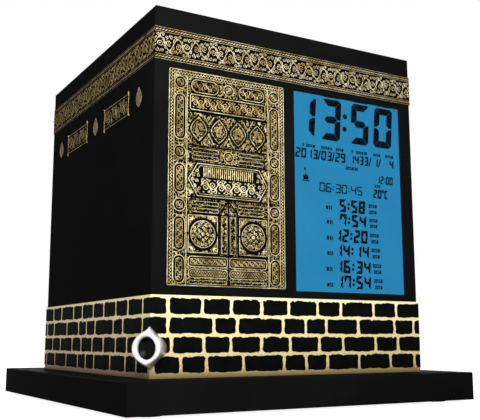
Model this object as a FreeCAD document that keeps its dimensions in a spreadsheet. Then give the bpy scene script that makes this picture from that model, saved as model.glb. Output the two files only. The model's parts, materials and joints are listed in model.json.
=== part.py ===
import FreeCAD, Part
import math
import os
import re
import Sketcher

# Azan clock: a cube housing on a wider flat plinth. Millimetres, +Z up, the display faces -Y.
# The origin lies on the floor, under the middle of the plinth.

SIZES = {
    # cube housing
    "body_width": 112.0,
    "body_depth": 116.0,
    "body_height": 125.0,
    "shell_wall": 2.5,
    "roof_wall": 2.5,
    "edge_break": 0.3,
    "post_radius": 4.0,
    "post_inset_x": 6.0,
    "post_inset_y": 6.0,
    "post_height": 15.0,
    # plinth, base plate and feet
    "plinth_overhang_x": 13.5,
    "plinth_overhang_y": 14.5,
    "plinth_height": 10.0,
    "plinth_wall": 2.5,
    "plinth_tube_radius": 3.6,
    "base_plate_thickness": 2.5,
    "foot_radius": 5.0,
    "foot_inset": 11.0,
    "foot_proud": 0.8,
    "foot_recess": 0.8,
    # screws
    "screw_shank_radius": 1.4,
    "screw_head_radius": 2.6,
    "screw_head_height": 1.5,
    "screw_grip": 10.0,
    "small_shank_radius": 1.0,
    "small_head_radius": 2.0,
    "small_head_height": 1.0,
    "small_grip": 4.5,
    "pilot_spare": 0.5,
    "thread_gap": 0.05,
    "shank_gap": 0.3,
    # clearances
    "fit_gap": 0.15,
    "key_gap": 0.3,
    "stop_gap": 0.1,
    "door_gap": 0.3,
    # what the front holds between the skirt and the band: the curtain, then the display window
    "curtain_side_gap": 5.2,
    "curtain_width": 45.9,
    "curtain_low_gap": 3.1,
    "curtain_high_gap": 2.5,
    "curtain_border": 2.0,
    "middle_gap": 4.9,
    "window_side_gap": 5.7,
    "window_low_gap": 2.8,
    "window_high_gap": 2.7,
    "window_recess": 0.1,
    "window_wall": 1.2,
    # display cell and light
    "window_flange": 0.5,
    "cell_margin": 1.3,
    "cell_ledge": 3.0,
    "glass_thickness": 1.1,
    "guide_thickness": 3.0,
    "reflector_thickness": 1.0,
    "light_strip_width": 1.6,
    "contact_strip_height": 2.0,
    "holder_wall": 1.2,
    "holder_gap": 0.2,
    "board_thickness": 1.6,
    "display_board_rim": 8.0,
    "display_boss_radius": 2.6,
    "display_boss_out": 4.4,
    "display_screw_inset": 6.0,
    "chip_drop": 22.1,
    "chip_radius": 9.0,
    "chip_crown_radius": 6.3,
    "chip_height": 2.0,
    "crystal_radius": 1.6,
    "crystal_length": 8.0,
    # applied ornament: the band hangs from the cube's top edge, the cartouches from the band
    "foil_thickness": 0.3,
    "band_drop": 7.5,
    "band_height": 11.5,
    "cartouche_length": 25.4,
    "cartouche_height": 8.2,
    "cartouche_drop": 6.0,
    "cartouche_tip": 1.6,
    "cartouche_offset": 22.6,
    "drop_width": 6.0,
    "drop_offset": 44.6,
    "skirt_height": 26.6,
    "stone_row_low": 1.7,
    "stone_row_pitch": 6.27,
    "stone_height": 5.2,
    "stone_joint": 1.2,
    "stone_proud": 0.3,
    # ring and stone on the front left corner
    "ring_height": 9.6,
    "ring_front_radius": 5.0,
    "ring_root_radius": 4.3,
    "ring_front_tip": 6.4,
    "ring_root_tip": 7.2,
    "ring_root_depth": 7.0,
    "ring_reach": 3.4,
    "ring_hole_width": 6.2,
    "ring_hole_height": 7.2,
    "stone_depth": 2.4,
    # rear panel, above the skirt
    "panel_width": 92.0,
    "panel_height": 58.0,
    "panel_low_gap": 3.4,
    "panel_rim": 5.0,
    "rebate_depth": 1.6,
    "panel_screw_inset": 2.8,
    "panel_boss_radius": 2.7,
    "panel_boss_length": 6.0,
    # keys, from the rear panel's middle, seen from the front
    "key_width": 9.0,
    "key_height": 6.0,
    "light_key_width": 23.0,
    "key_proud": 1.5,
    "key_flange": 1.0,
    "key_flange_rim": 1.0,
    "key_travel": 0.8,
    "key_column_one": 14.5,
    "key_column_two": 28.5,
    "key_row_low": -2.6,
    "key_row_pitch": 10.0,
    "key_board_gap": 8.0,
    "key_board_left": 3.0,
    "key_board_width": 37.0,
    "key_board_height": 46.0,
    "key_post_radius": 2.2,
    "key_post_inset": 2.6,
    "switch_side": 6.0,
    "switch_height": 3.5,
    "stem_radius": 1.6,
    "stem_proud": 1.0,
    "stem_sunk": 1.8,
    # slide switch and power inlet on the key board
    "slide_x": 14.5,
    "lower_row": -17.0,
    "slide_cap_length": 4.0,
    "slide_cap_height": 3.0,
    "slide_travel": 4.0,
    "slide_housing_length": 12.0,
    "slide_housing_height": 6.0,
    "slide_housing_depth": 4.0,
    "slide_stem_sunk": 1.5,
    "inlet_x": 29.5,
    "inlet_side": 9.0,
    "inlet_nose_radius": 3.9,
    "inlet_bore_radius": 2.75,
    "inlet_pin_radius": 1.0,
    "inlet_bore_depth": 9.0,
    # loudspeaker, from the rear panel's middle
    "speaker_x": -20.0,
    "speaker_radius": 20.0,
    "gasket_thickness": 0.8,
    "speaker_flange": 1.2,
    "speaker_flange_width": 3.0,
    "basket_depth": 8.0,
    "basket_wall": 0.8,
    "magnet_radius": 11.0,
    "magnet_height": 6.0,
    "cone_depth": 5.5,
    "cone_wall": 0.4,
    "dust_cap_radius": 5.0,
    "grille_radius": 16.0,
    "grille_slot": 1.6,
    "grille_pitch": 3.4,
    "speaker_post_radius": 2.0,
    "speaker_post_out": 2.2,
    "speaker_screw_bite": 0.8,
    "speaker_head_radius": 2.6,
    # battery bay
    "tray_front": -20.0,
    "tray_width": 49.0,
    "tray_length": 60.0,
    "tray_height": 17.5,
    "tray_wall": 1.5,
    "tray_flange": 3.0,
    "tray_flange_height": 1.5,
    "tray_gap": 0.2,
    "cell_radius": 7.25,
    "cell_length": 49.5,
    "cell_nub_radius": 2.7,
    "cell_nub": 1.0,
    "cell_pitch": 15.1,
    "cell_lift": 0.2,
    "contact_plate": 0.4,
    "contact_width": 12.0,
    "contact_height": 12.0,
    "spring_wire_radius": 0.4,
    "spring_wide_radius": 4.4,
    "spring_narrow_radius": 2.8,
    "spring_turns": 3.5,
    "door_width": 46.0,
    "door_lip": 0.9,
    "door_tongue": 2.0,
    "door_lip_gap": 0.15,
    "door_ridge_width": 1.0,
    "door_ridge_depth": 0.4,
    "door_ridge_pitch": 2.2,
    # leads, and how far they run before they bend
    "lead_radius": 0.6,
    "lead_spacing": 2.0,
    "battery_lead_x": 6.0,
    "battery_lead_y": 26.0,
    "battery_lead_rise": 15.0,
    "battery_lead_end_x": 12.0,
    "battery_lead_end_z": 5.0,
    "speaker_lead_rise": 6.0,
    "speaker_lead_out": 7.0,
    "speaker_lead_end_x": 9.0,
    "ribbon_width": 12.0,
    "ribbon_thickness": 0.8,
    "ribbon_out": 14.0,
    "ribbon_drop": 8.0,
    "ribbon_sag": 10.0,
}

# joints of the skirt's courses, lowest course first, measured from a corner on a face 112 wide
JOINT_FACE = 112.0
COURSES = (
    (0.9, 10.6, 19.9, 33.9, 50.2, 59.5, 68.6, 82.8, 97.7, 109.5),
    (7.1, 18.8, 29.0, 41.0, 52.7, 65.1, 75.7, 90.8, 101.5),
    (5.9, 22.6, 31.5, 49.8, 59.4, 68.4, 82.8, 100.0, 109.5),
    (5.8, 18.3, 29.3, 41.2, 52.2, 64.6, 75.0, 90.2, 101.2),
)

# how many of each
GRILLE_SLOTS = 9
CELLS = 3
DOOR_RIDGES = 5
LEFT_AND_RIGHT = (-1, 1)
# how far from a face an edge may lie and still count as on it
TOUCH = 0.01
# how much of a lead's shorter run an arc takes
ARC_SHARE = 0.45

# places that many pieces share, as expressions of the sizes
PLINTH_LOW = "foot_proud"
PLATE_TOP = "(foot_proud + base_plate_thickness)"
BODY_LOW = "(foot_proud + plinth_height)"
FRONT = "(-body_depth / 2)"
BACK = "(body_depth / 2)"
LEFT = "(-body_width / 2)"
RIGHT = "(body_width / 2)"
FRONT_INSIDE = "(shell_wall - body_depth / 2)"
BACK_INSIDE = "(body_depth / 2 - shell_wall)"
PLINTH_RIGHT = "(body_width / 2 + plinth_overhang_x)"
PLINTH_BACK = "(body_depth / 2 + plinth_overhang_y)"
POST_X = "(body_width / 2 - post_inset_x)"
POST_Y = "(body_depth / 2 - post_inset_y)"
FOOT_X = f"({PLINTH_RIGHT} - foot_inset)"
FOOT_Y = f"({PLINTH_BACK} - foot_inset)"

# the front, between the skirt and the band
BAND_LOW = "(body_height - band_drop - band_height)"
CURTAIN_X = f"({LEFT} + curtain_side_gap)"
CURTAIN_Z = f"({BODY_LOW} + skirt_height + curtain_low_gap)"
CURTAIN_HEIGHT = f"({BAND_LOW} - curtain_high_gap - skirt_height - curtain_low_gap)"
WINDOW_X = f"({CURTAIN_X} + curtain_width + middle_gap)"
WINDOW_Z = f"({BODY_LOW} + skirt_height + window_low_gap)"
WINDOW_WIDTH = "(body_width - curtain_side_gap - curtain_width - middle_gap - window_side_gap)"
WINDOW_HEIGHT = f"({BAND_LOW} - window_high_gap - skirt_height - window_low_gap)"

# the display, front to back
CELL_X = f"({WINDOW_X} - cell_margin)"
CELL_Z = f"({WINDOW_Z} - cell_margin)"
CELL_WIDTH = f"({WINDOW_WIDTH} + 2 * cell_margin)"
CELL_HEIGHT = f"({WINDOW_HEIGHT} + 2 * cell_margin)"
SEAT_Y = f"({FRONT} + window_wall)"
GLASS_Y = f"({SEAT_Y} + window_flange)"
REAR_GLASS_Y = f"({GLASS_Y} + glass_thickness)"
GUIDE_Y = f"({REAR_GLASS_Y} + glass_thickness)"
REFLECTOR_Y = f"({GUIDE_Y} + guide_thickness)"
DISPLAY_BOARD_Y = f"({REFLECTOR_Y} + reflector_thickness)"
DISPLAY_BOARD_BACK = f"({DISPLAY_BOARD_Y} + board_thickness)"
DISPLAY_STACK = "(window_flange + 2 * glass_thickness + guide_thickness + reflector_thickness)"
HOLDER_OUT = "(cell_margin + holder_gap + holder_wall)"
WINDOW_MIDDLE_X = f"({WINDOW_X} + {WINDOW_WIDTH} / 2)"
DISPLAY_SCREWS = [
    (f"({WINDOW_MIDDLE_X} + {side} * ({WINDOW_WIDTH} / 2 - display_screw_inset))", level)
    for side in LEFT_AND_RIGHT
    for level in (
        f"({WINDOW_Z} - {HOLDER_OUT} - display_boss_out)",
        f"({WINDOW_Z} + {WINDOW_HEIGHT} + {HOLDER_OUT} + display_boss_out)",
    )
]

# the rear panel and what it carries
PANEL_LOW = f"({BODY_LOW} + skirt_height + panel_low_gap)"
PANEL_MIDDLE = f"({PANEL_LOW} + panel_height / 2)"
PANEL_SCREW_X = "(panel_width / 2 - panel_screw_inset)"
PANEL_SCREW_Z = "(panel_height / 2 - panel_screw_inset)"
PANEL_SCREWS = [
    (f"{side} * {PANEL_SCREW_X}", f"{PANEL_MIDDLE} + {end} * {PANEL_SCREW_Z}")
    for side in LEFT_AND_RIGHT
    for end in LEFT_AND_RIGHT
]
KEY_BOARD_Y = f"({BACK_INSIDE} - key_board_gap)"
KEY_BOARD_INNER = f"({KEY_BOARD_Y} - board_thickness)"
KEY_BOARD_Z = f"({PANEL_MIDDLE} - key_board_height / 2)"
KEY_BOARD_SCREWS = [
    (x, z)
    for x in ("(key_board_left + key_post_inset)", "(key_board_left + key_board_width - key_post_inset)")
    for z in (f"({KEY_BOARD_Z} + key_post_inset)", f"({KEY_BOARD_Z} + key_board_height - key_post_inset)")
]
LOWER_ROW_Z = f"({PANEL_MIDDLE} + lower_row)"
KEYS = {
    "mode_key": ("key_column_one", 2, "key_width"),
    "set_key": ("key_column_two", 2, "key_width"),
    "up_key": ("key_column_one", 1, "key_width"),
    "down_key": ("key_column_two", 1, "key_width"),
    "light_key": ("(key_column_one + key_column_two) / 2", 0, "light_key_width"),
}
SPEAKER_FRONT = f"({BACK_INSIDE} - gasket_thickness)"
SPEAKER_SCREW_ANGLES = (50, 130, 230, 310)
SPEAKER_STACK = "(gasket_thickness + speaker_flange)"

# the battery bay
TRAY_TOP = f"({PLATE_TOP} + tray_height)"
CELL_CENTRE_Z = f"({PLATE_TOP} + cell_lift + cell_radius)"
BAY_FRONT = "(tray_front + tray_wall)"
BAY_BACK = "(tray_front + tray_length - tray_wall)"


def with_cells(text):
    """Point each size name in an expression at its cell in the sheet."""

    def cell(word):
        name = word.group()
        return f"Sizes.{name}" if name in SIZES else name

    return re.sub(r"[a-z_]+", cell, text)


def number(doc, text):
    """Work out an expression's value in millimetres."""
    return float(doc.getObject("Scale_probe").evalExpression(with_cells(text)))


def make_sheet(doc):
    """Put every driving dimension in the sheet, one alias to a cell."""
    sheet = doc.addObject("Spreadsheet::Sheet", "Sizes")
    for row, (name, size) in enumerate(SIZES.items(), start=1):
        sheet.set(f"A{row}", name)
        sheet.set(f"B{row}", str(size))
        sheet.setAlias(f"B{row}", name)
    doc.addObject("App::FeaturePython", "Scale_probe")
    doc.recompute()


# ---------------------------------------------------------------- sketch outlines


def bind(sketch, kind, geometry, place, text):
    """Add one measured constraint and drive it from the sheet."""
    doc = sketch.Document
    index = sketch.addConstraint(Sketcher.Constraint(kind, *place, number(doc, text)))
    name = f"{kind}_{geometry}_{index}"
    sketch.renameConstraint(index, name)
    sketch.setExpression(f"Constraints.{name}", with_cells(text))


def rect(left, low, width, height):
    """A rectangle by its lower left corner and its sides."""

    def draw(sketch):
        doc = sketch.Document
        x, y, w, h = (number(doc, text) for text in (left, low, width, height))
        corners = [(x, y), (x + w, y), (x + w, y + h), (x, y + h)]
        first = sketch.GeometryCount
        for start, end in zip(corners, corners[1:] + corners[:1]):
            line = Part.LineSegment(FreeCAD.Vector(*start, 0), FreeCAD.Vector(*end, 0))
            sketch.addGeometry(line, False)
        for step in range(4):
            here, after = first + step, first + (step + 1) % 4
            sketch.addConstraint(Sketcher.Constraint("Coincident", here, 2, after, 1))
            sketch.addConstraint(Sketcher.Constraint("Vertical" if step % 2 else "Horizontal", here))
        bind(sketch, "DistanceX", first, (-1, 1, first, 1), left)
        bind(sketch, "DistanceY", first, (-1, 1, first, 1), low)
        bind(sketch, "DistanceX", first, (first, 1, first, 2), width)
        bind(sketch, "DistanceY", first, (first + 1, 1, first + 1, 2), height)

    return draw


def circle(x, y, radius):
    """A circle by its centre and radius."""

    def draw(sketch):
        doc = sketch.Document
        centre = FreeCAD.Vector(number(doc, x), number(doc, y), 0)
        index = sketch.addGeometry(Part.Circle(centre, FreeCAD.Vector(0, 0, 1), number(doc, radius)), False)
        bind(sketch, "DistanceX", index, (-1, 1, index, 3), x)
        bind(sketch, "DistanceY", index, (-1, 1, index, 3), y)
        bind(sketch, "Radius", index, (index,), radius)

    return draw


def grown(left, low, width, height, rim):
    """A rectangle made larger by a rim on every side."""
    return rect(f"{left} - ({rim})", f"{low} - ({rim})", f"{width} + 2 * ({rim})", f"{height} + 2 * ({rim})")


def centred(width, depth):
    """A rectangle about the upright axis."""
    return rect(f"-({width}) / 2", f"-({depth}) / 2", width, depth)


class Piece:
    """One moulded, stamped or turned piece, grown by pads and cut by pockets."""

    PLANES = {"XY": 1, "XZ": -1, "YZ": 1}

    def __init__(self, doc, label, loose=False):
        self.doc = doc
        self.body = doc.addObject("PartDesign::Body", label)
        self.body.Label = label
        self.body.AllowCompound = loose

    def sketch(self, plane, level, outlines):
        """Draw outlines on one of the body's planes, lifted to a level along the third axis."""
        sketch = self.body.newObject("Sketcher::SketchObject", f"{self.body.Name}_sketch")
        role = f"{plane}_Plane"
        origin_plane = [o for o in self.body.Origin.OriginFeatures if o.Role == role][0]
        sketch.AttachmentSupport = [(origin_plane, "")]
        sketch.MapMode = "FlatFace"
        sign = "-" if self.PLANES[plane] < 0 else ""
        sketch.setExpression("AttachmentOffset.Base.z", with_cells(f"{sign}({level})"))
        for outline in outlines:
            outline(sketch)
        return sketch

    def feature(self, kind, plane, level, towards, length, outlines, reversed_when):
        """Pad or pocket a sketch towards the plus or minus side of the third axis."""
        feature = self.body.newObject(f"PartDesign::{kind}", f"{self.body.Name}_{kind}")
        feature.Profile = self.sketch(plane, level, outlines)
        feature.setExpression("Length", with_cells(length))
        feature.Reversed = towards * self.PLANES[plane] == reversed_when
        self.doc.recompute()
        return feature

    def pad(self, plane, level, towards, length, *outlines):
        """Grow the piece from a sketch."""
        return self.feature("Pad", plane, level, towards, length, outlines, -1)

    def pocket(self, plane, level, towards, length, *outlines):
        """Cut the piece from a sketch."""
        return self.feature("Pocket", plane, level, towards, length, outlines, 1)

    def break_edges(self, size, wanted):
        """Chamfer the edges of the last feature that a test picks out."""
        tip = self.body.Tip
        names = [f"Edge{i}" for i, edge in enumerate(tip.Shape.Edges, start=1) if wanted(edge)]
        chamfer = self.body.newObject("PartDesign::Chamfer", f"{self.body.Name}_Chamfer")
        chamfer.Base = (tip, names)
        chamfer.setExpression("Size", with_cells(size))
        self.doc.recompute()

    def row(self, feature, count, length):
        """Repeat a feature along X."""
        pattern = self.body.newObject("PartDesign::LinearPattern", f"{self.body.Name}_Row")
        pattern.Originals = [feature]
        axis = [o for o in self.body.Origin.OriginFeatures if o.Role == "Y_Axis"][0]
        pattern.Direction = (axis, [""])
        pattern.Reversed = True
        pattern.Occurrences = count
        pattern.setExpression("Length", with_cells(length))
        self.body.Tip = pattern
        self.doc.recompute()


# ---------------------------------------------------------------- plain solids

TURNS = {
    "+Z": FreeCAD.Rotation(),
    "+Y": FreeCAD.Rotation(FreeCAD.Vector(1, 0, 0), -90),
    "-Y": FreeCAD.Rotation(FreeCAD.Vector(1, 0, 0), 90),
    "+X": FreeCAD.Rotation(FreeCAD.Vector(0, 1, 0), 90),
}


def place(solid, where):
    """Bind a solid's place to the sheet."""
    for axis, text in zip("xyz", where):
        solid.setExpression(f"Placement.Base.{axis}", with_cells(text))


def block(doc, name, corner, size):
    """A box by its lowest corner and its sides."""
    solid = doc.addObject("Part::Box", name)
    for side, text in zip(("Length", "Width", "Height"), size):
        solid.setExpression(side, with_cells(text))
    place(solid, corner)
    return solid


def rod(doc, name, start, towards, radius, length):
    """A cylinder from the middle of its first face."""
    solid = doc.addObject("Part::Cylinder", name)
    solid.setExpression("Radius", with_cells(radius))
    solid.setExpression("Height", with_cells(length))
    solid.Placement = FreeCAD.Placement(FreeCAD.Vector(), TURNS[towards])
    place(solid, start)
    return solid


def taper(doc, name, start, towards, radius, end_radius, length):
    """A cone from the middle of its first face."""
    solid = doc.addObject("Part::Cone", name)
    solid.setExpression("Radius1", with_cells(radius))
    solid.setExpression("Radius2", with_cells(end_radius))
    solid.setExpression("Height", with_cells(length))
    solid.Placement = FreeCAD.Placement(FreeCAD.Vector(), TURNS[towards])
    place(solid, start)
    return solid


def fuse(doc, name, solids):
    """Join solids in one."""
    joined = doc.addObject("Part::MultiFuse", name)
    joined.Shapes = solids
    joined.Refine = True
    return joined


def cut(doc, name, base, tool):
    """Take one solid out of another."""
    left = doc.addObject("Part::Cut", name)
    left.Base = base
    left.Tool = tool
    return left


def group(doc, name, solids):
    """Keep several like solids together, each one separate."""
    compound = doc.addObject("Part::Compound", name)
    compound.Links = solids
    return compound


def shaped(doc, name, shape):
    """Hold a shape that neither a sketch nor a plain solid gives."""
    feature = doc.addObject("Part::Feature", name)
    feature.Shape = shape
    return feature


def screws(doc, name, places, towards, head, shank):
    """A group of pan head screws: each place is where the head's outer face lies."""
    head_radius, head_height = head
    shank_radius, shank_length = shank
    made = []
    for index, start in enumerate(places, start=1):
        head_rod = rod(doc, f"{name}_head_{index}", start, towards, head_radius, head_height)
        length = f"{head_height} + {shank_length}"
        shank_rod = rod(doc, f"{name}_shank_{index}", start, towards, shank_radius, length)
        made.append(fuse(doc, f"{name}_{index}", [head_rod, shank_rod]))
    return group(doc, name, made)


def corners(x, y):
    """The four corner places of a centred rectangle."""
    return [(f"{side} * {x}", f"{end} * {y}") for side in LEFT_AND_RIGHT for end in LEFT_AND_RIGHT]


# ---------------------------------------------------------------- housing and base


def make_body_shell(doc):
    """Five-sided cube, open below, with the display window and the rear opening."""
    piece = Piece(doc, "body_shell")
    piece.pad("XY", BODY_LOW, 1, "body_height", centred("body_width", "body_depth"))
    top = number(doc, f"{BODY_LOW} + body_height")
    piece.break_edges("edge_break", lambda edge: edge.BoundBox.ZMax > top - TOUCH)
    inner = centred("body_width - 2 * shell_wall", "body_depth - 2 * shell_wall")
    piece.pocket("XY", BODY_LOW, 1, "body_height - roof_wall", inner)
    posts = corners(POST_X, POST_Y)
    piece.pad("XY", BODY_LOW, 1, "post_height", *[circle(x, y, "post_radius") for x, y in posts])
    pilot = "screw_shank_radius + thread_gap"
    piece.pocket("XY", BODY_LOW, 1, "screw_grip + pilot_spare", *[circle(x, y, pilot) for x, y in posts])
    window = grown(WINDOW_X, WINDOW_Z, WINDOW_WIDTH, WINDOW_HEIGHT, "fit_gap")
    piece.pocket("XZ", FRONT, 1, "shell_wall", window)
    seat = grown(WINDOW_X, WINDOW_Z, WINDOW_WIDTH, WINDOW_HEIGHT, f"{HOLDER_OUT} + fit_gap")
    piece.pocket("XZ", FRONT_INSIDE, -1, "shell_wall - window_wall", seat)
    bosses = [circle(x, z, "display_boss_radius") for x, z in DISPLAY_SCREWS]
    piece.pad("XZ", FRONT_INSIDE, 1, f"{DISPLAY_BOARD_Y} - {FRONT_INSIDE}", *bosses)
    small_pilot = "small_shank_radius + thread_gap"
    holes = [circle(x, z, small_pilot) for x, z in DISPLAY_SCREWS]
    piece.pocket("XZ", DISPLAY_BOARD_Y, -1, "small_grip + pilot_spare", *holes)
    rebate = rect("-panel_width / 2", PANEL_LOW, "panel_width", "panel_height")
    piece.pocket("XZ", BACK, -1, "rebate_depth", rebate)
    panel_bosses = [circle(x, z, "panel_boss_radius") for x, z in PANEL_SCREWS]
    piece.pad("XZ", BACK_INSIDE, -1, "panel_boss_length", *panel_bosses)
    opening = grown("-panel_width / 2", PANEL_LOW, "panel_width", "panel_height", "-panel_rim")
    piece.pocket("XZ", BACK, -1, "shell_wall", opening)
    panel_holes = [circle(x, z, small_pilot) for x, z in PANEL_SCREWS]
    piece.pocket("XZ", f"{BACK} - rebate_depth", -1, "small_grip + pilot_spare", *panel_holes)
    return piece.body


def make_plinth_shell(doc):
    """Wide flat tray, open below, that the cube stands on."""
    piece = Piece(doc, "plinth_shell")
    piece.pad("XY", PLINTH_LOW, 1, "plinth_height", centred(f"2 * {PLINTH_RIGHT}", f"2 * {PLINTH_BACK}"))
    top = number(doc, BODY_LOW)
    piece.break_edges("edge_break", lambda edge: edge.BoundBox.ZMax > top - TOUCH)
    hollow = centred(f"2 * ({PLINTH_RIGHT} - plinth_wall)", f"2 * ({PLINTH_BACK} - plinth_wall)")
    piece.pocket("XY", PLINTH_LOW, 1, "plinth_height - plinth_wall", hollow)
    posts = corners(POST_X, POST_Y)
    tube_length = "plinth_height - plinth_wall - base_plate_thickness"
    tubes = [circle(x, y, "plinth_tube_radius") for x, y in posts]
    piece.pad("XY", f"{BODY_LOW} - plinth_wall", -1, tube_length, *tubes)
    clear = "screw_shank_radius + shank_gap"
    piece.pocket("XY", BODY_LOW, -1, "plinth_height", *[circle(x, y, clear) for x, y in posts])
    bay = grown("-tray_width / 2", "tray_front", "tray_width", "tray_length", "tray_gap")
    piece.pocket("XY", BODY_LOW, -1, "plinth_wall", bay)
    tongue = "(door_width / 2 + door_tongue + door_gap)"
    notch = rect(f"-{tongue}", PLINTH_LOW, f"2 * {tongue}", "base_plate_thickness")
    piece.pocket("XZ", PLINTH_BACK, -1, "plinth_wall", notch)
    return piece.body


def make_base_plate(doc):
    """Sheet that closes the plinth, with a stepped channel for the battery door."""
    piece = Piece(doc, "base_plate")
    half_x = f"({PLINTH_RIGHT} - plinth_wall - fit_gap)"
    half_y = f"({PLINTH_BACK} - plinth_wall - fit_gap)"
    piece.pad("XY", PLINTH_LOW, 1, "base_plate_thickness", centred(f"2 * {half_x}", f"2 * {half_y}"))
    run = f"{PLINTH_BACK} - tray_front"
    narrow = "(door_width / 2 + door_gap)"
    wide = "(door_width / 2 + door_tongue + door_gap)"
    channel = rect(f"-{narrow}", "tray_front", f"2 * {narrow}", run)
    piece.pocket("XY", PLINTH_LOW, 1, "base_plate_thickness", channel)
    step = rect(f"-{wide}", "tray_front", f"2 * {wide}", run)
    piece.pocket("XY", PLATE_TOP, -1, "base_plate_thickness - door_lip", step)
    feet = [circle(x, y, "foot_radius + fit_gap") for x, y in corners(FOOT_X, FOOT_Y)]
    piece.pocket("XY", PLINTH_LOW, 1, "foot_recess", *feet)
    posts = corners(POST_X, POST_Y)
    heads = [circle(x, y, "screw_head_radius + fit_gap") for x, y in posts]
    piece.pocket("XY", PLINTH_LOW, 1, "screw_head_height", *heads)
    shanks = [circle(x, y, "screw_shank_radius + shank_gap") for x, y in posts]
    piece.pocket("XY", PLATE_TOP, -1, "base_plate_thickness", *shanks)
    return piece.body


def make_rubber_feet(doc):
    """Four round feet, set in the base plate's recesses."""
    feet = [
        rod(doc, f"foot_{index}", (x, y, "0"), "+Z", "foot_radius", "foot_proud + foot_recess")
        for index, (x, y) in enumerate(corners(FOOT_X, FOOT_Y), start=1)
    ]
    return group(doc, "rubber_feet", feet)


def make_base_screws(doc):
    """Four screws, up through the plinth into the cube's posts."""
    places = [(x, y, PLINTH_LOW) for x, y in corners(POST_X, POST_Y)]
    shank = "plinth_height - screw_head_height + screw_grip"
    head = ("screw_head_radius", "screw_head_height")
    return screws(doc, "base_screws", places, "+Z", head, ("screw_shank_radius", shank))


# ---------------------------------------------------------------- display


def make_display_window(doc):
    """Clear stepped lens, nearly flush with the front, its flange behind the wall."""
    piece = Piece(doc, "display_window")
    lens = rect(WINDOW_X, WINDOW_Z, WINDOW_WIDTH, WINDOW_HEIGHT)
    piece.pad("XZ", f"{FRONT} + window_recess", 1, "window_wall - window_recess", lens)
    piece.pad("XZ", SEAT_Y, 1, "window_flange", rect(CELL_X, CELL_Z, CELL_WIDTH, CELL_HEIGHT))
    return piece.body


def slab(doc, name, level, thickness, outline):
    """A flat upright piece behind the front wall."""
    piece = Piece(doc, name)
    piece.pad("XZ", level, 1, thickness, outline)
    return piece.body


def make_cell(doc):
    """Two glass plates; the rear one is shorter and leaves a contact ledge above and below."""
    whole = rect(CELL_X, CELL_Z, CELL_WIDTH, CELL_HEIGHT)
    short_z, short_height = f"{CELL_Z} + cell_ledge", f"{CELL_HEIGHT} - 2 * cell_ledge"
    short = rect(CELL_X, short_z, CELL_WIDTH, short_height)
    front = slab(doc, "lcd_front_glass", GLASS_Y, "glass_thickness", whole)
    rear = slab(doc, "lcd_rear_glass", REAR_GLASS_Y, "glass_thickness", short)
    shift = "(light_strip_width + holder_gap)"
    lit = rect(f"{CELL_X} + {shift}", short_z, f"{CELL_WIDTH} - {shift}", short_height)
    guide = slab(doc, "backlight_guide", GUIDE_Y, "guide_thickness", lit)
    strip_outline = rect(CELL_X, short_z, "light_strip_width", short_height)
    strip = slab(doc, "backlight_led_strip", GUIDE_Y, "guide_thickness", strip_outline)
    reflector = slab(doc, "backlight_reflector", REFLECTOR_Y, "reflector_thickness", short)
    return [front, rear, guide, strip, reflector]


def make_contact_strips(doc):
    """Two elastic strips from the cell's ledges to the display board."""
    depth = "glass_thickness + guide_thickness + reflector_thickness"
    margin = "(cell_ledge - contact_strip_height) / 2"
    lows = (f"{CELL_Z} + {margin}", f"{CELL_Z} + {CELL_HEIGHT} - cell_ledge + {margin}")
    size = (WINDOW_WIDTH, depth, "contact_strip_height")
    strips = [
        block(doc, f"contact_strip_{index}", (WINDOW_X, REAR_GLASS_Y, low), size)
        for index, low in enumerate(lows, start=1)
    ]
    return group(doc, "contact_strips", strips)


def make_lcd_holder(doc):
    """Moulded frame round the window flange, the cell and the light."""
    piece = Piece(doc, "lcd_holder")
    outer = grown(WINDOW_X, WINDOW_Z, WINDOW_WIDTH, WINDOW_HEIGHT, HOLDER_OUT)
    piece.pad("XZ", SEAT_Y, 1, DISPLAY_STACK, outer)
    inner = grown(WINDOW_X, WINDOW_Z, WINDOW_WIDTH, WINDOW_HEIGHT, "cell_margin + holder_gap")
    piece.pocket("XZ", SEAT_Y, 1, DISPLAY_STACK, inner)
    return piece.body


def make_display_board(doc):
    """Circuit board behind the display, held by four screws, with its chip and crystal."""
    piece = Piece(doc, "display_board")
    low = f"{WINDOW_Z} - {HOLDER_OUT} - display_board_rim"
    height = f"{WINDOW_HEIGHT} + 2 * ({HOLDER_OUT} + display_board_rim)"
    outline = rect(f"{WINDOW_X} - {HOLDER_OUT}", low, f"{WINDOW_WIDTH} + 2 * {HOLDER_OUT}", height)
    piece.pad("XZ", DISPLAY_BOARD_Y, 1, "board_thickness", outline)
    holes = [circle(x, z, "small_shank_radius + shank_gap") for x, z in DISPLAY_SCREWS]
    piece.pocket("XZ", DISPLAY_BOARD_Y, 1, "board_thickness", *holes)
    chip_z = f"({WINDOW_Z} + {WINDOW_HEIGHT} - chip_drop)"
    chip_place = (WINDOW_MIDDLE_X, DISPLAY_BOARD_BACK, chip_z)
    chip = taper(doc, "controller_chip", chip_place, "+Y", "chip_radius", "chip_crown_radius", "chip_height")
    crystal_x = f"{WINDOW_MIDDLE_X} + chip_radius + crystal_radius"
    crystal_corner = (crystal_x, DISPLAY_BOARD_BACK, f"{chip_z} - crystal_length / 2")
    can = ("2 * crystal_radius", "2 * crystal_radius", "crystal_length")
    crystal = block(doc, "timing_crystal", crystal_corner, can)
    heads = [(x, f"{DISPLAY_BOARD_BACK} + small_head_height", z) for x, z in DISPLAY_SCREWS]
    shank = "board_thickness + small_grip"
    head = ("small_head_radius", "small_head_height")
    held = screws(doc, "display_board_screws", heads, "-Y", head, ("small_shank_radius", shank))
    return [piece.body, chip, crystal, held]


# ---------------------------------------------------------------- rear panel


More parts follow.
